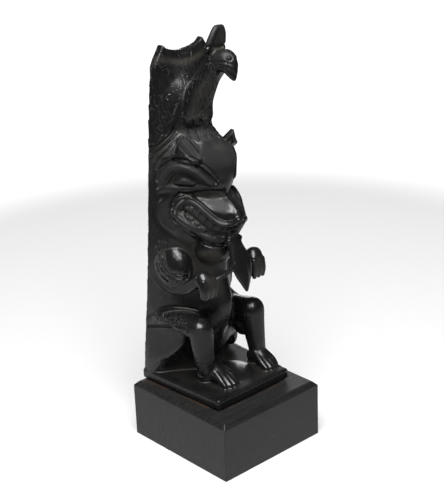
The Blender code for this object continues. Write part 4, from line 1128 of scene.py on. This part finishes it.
def paper_material(stage):
    """Pale paper: white round the pole, darker where only the polished stone mirrors it."""
    material, tree, shader = new_material("pale_paper")
    middle = node(tree, "ShaderNodeMapping")
    middle.inputs["Location"].default_value = PAPER_SHIFT
    tree.links.new(node(tree, "ShaderNodeTexCoord").outputs["Object"], middle.inputs["Vector"])
    reach = node(tree, "ShaderNodeVectorMath", operation="LENGTH")
    tree.links.new(middle.outputs[0], reach.inputs[0])
    far = ramp(tree, reach.outputs["Value"], stage.paper, stage.paper + 0.1)
    tree.links.new(mix_colour(tree, far, (0.6, 0.6, 0.6, 1.0), (0.1, 0.1, 0.1, 1.0)),
                   shader.inputs["Base Color"])
    shader.inputs["Roughness"].default_value = 0.9
    shader.inputs["Specular IOR Level"].default_value = 0.1
    shader.inputs["Emission Color"].default_value = (1.0, 1.0, 1.0, 1.0)
    looked_at = node(tree, "ShaderNodeLightPath").outputs["Is Camera Ray"]
    lift = sum_node(tree, "MULTIPLY_ADD", far, 0.7, 0.35)
    tree.links.new(sum_node(tree, "MULTIPLY", looked_at, lift), shader.inputs["Emission Strength"])
    return material


class SCENE_OT_pole_stage(bpy.types.Operator):
    """Sets the pale floor, the soft lights and the camera"""

    bl_idname = "scene.pole_stage"
    bl_label = "Stage"

    def execute(self, context):
        stage = context.scene.carved_pole_stage
        bm = bmesh.new()
        bmesh.ops.create_grid(bm, x_segments=2, y_segments=2, size=1.5)
        floor = make_object("pale_floor", bm)
        floor.data.materials.append(paper_material(stage))

        world = bpy.data.worlds.new("white_surround")
        context.scene.world = world
        world.use_nodes = True
        tree = world.node_tree
        back = tree.nodes["Background"]
        back.inputs["Color"].default_value = (1.0, 1.0, 1.0, 1.0)
        looked_at = node(tree, "ShaderNodeLightPath").outputs["Is Camera Ray"]
        strength = sum_node(tree, "MULTIPLY_ADD", looked_at, 1.05 - stage.surround, stage.surround)
        tree.links.new(strength, back.inputs["Strength"])

        add_area_light("key_softbox", -44, 62, 0.55, stage.key_light, 0.8)
        add_area_light("front_softbox", -30, 22, 0.8, stage.front_light, 1.6)
        add_area_light("rim_softbox", 135, 4, 0.5, stage.rim_light, 1.3)
        add_area_light("left_rim_softbox", -150, 4, 0.4, stage.left_rim_light, 1.3)

        lens = bpy.data.cameras.new("photo_camera")
        camera = bpy.data.objects.new("photo_camera", lens)
        context.scene.collection.objects.link(camera)
        back = outward(stage.azimuth, stage.elevation)
        right = Vector((math.cos(stage.azimuth), math.sin(stage.azimuth), 0))
        up = back.cross(right)
        cos, sin = math.cos(stage.roll), math.sin(stage.roll)
        matrix = Matrix((cos * right + sin * up, cos * up - sin * right, back)).transposed().to_4x4()
        matrix.translation = Vector(stage.target) + back * stage.distance
        camera.matrix_world = matrix
        lens.sensor_fit = "AUTO"
        lens.sensor_width = 36
        lens.lens = stage.lens
        lens.clip_start = 0.01
        context.scene.camera = camera
        context.scene.view_settings.view_transform = "Standard"
        return {"FINISHED"}


class VIEW3D_PT_carved_pole(bpy.types.Panel):
    """Lists the pole's pieces"""

    bl_idname = "VIEW3D_PT_carved_pole"
    bl_label = "Carved pole"
    bl_space_type = "VIEW_3D"
    bl_region_type = "UI"
    bl_category = "Carved pole"

    def draw(self, context):
        for operator in OPERATORS:
            self.layout.operator(operator.bl_idname)
        for group in (context.scene.carved_pole_sizes, context.scene.carved_pole_finish,
                      context.scene.carved_pole_stage):
            box = self.layout.box()
            for name in group.__annotations__:
                box.prop(group, name)


OPERATORS = (SCENE_OT_pole_finishes, MESH_OT_carved_pole, MESH_OT_pole_plinth, SCENE_OT_pole_stage)
GROUPS = (CarvedPoleSizes, CarvedPoleFinish, CarvedPoleStage)


def register():
    for kind in (*GROUPS, *OPERATORS, VIEW3D_PT_carved_pole):
        bpy.utils.register_class(kind)
    bpy.types.Scene.carved_pole_sizes = PointerProperty(type=CarvedPoleSizes)
    bpy.types.Scene.carved_pole_finish = PointerProperty(type=CarvedPoleFinish)
    bpy.types.Scene.carved_pole_stage = PointerProperty(type=CarvedPoleStage)


def unregister():
    del bpy.types.Scene.carved_pole_stage
    del bpy.types.Scene.carved_pole_finish
    del bpy.types.Scene.carved_pole_sizes
    for kind in (VIEW3D_PT_carved_pole, *reversed(OPERATORS), *reversed(GROUPS)):
        bpy.utils.unregister_class(kind)


def main():
    register()
    bpy.ops.scene.pole_finishes()
    bpy.ops.mesh.carved_pole()
    bpy.ops.mesh.pole_plinth()
    bpy.ops.scene.pole_stage()


if __name__ == "__main__":
    main()
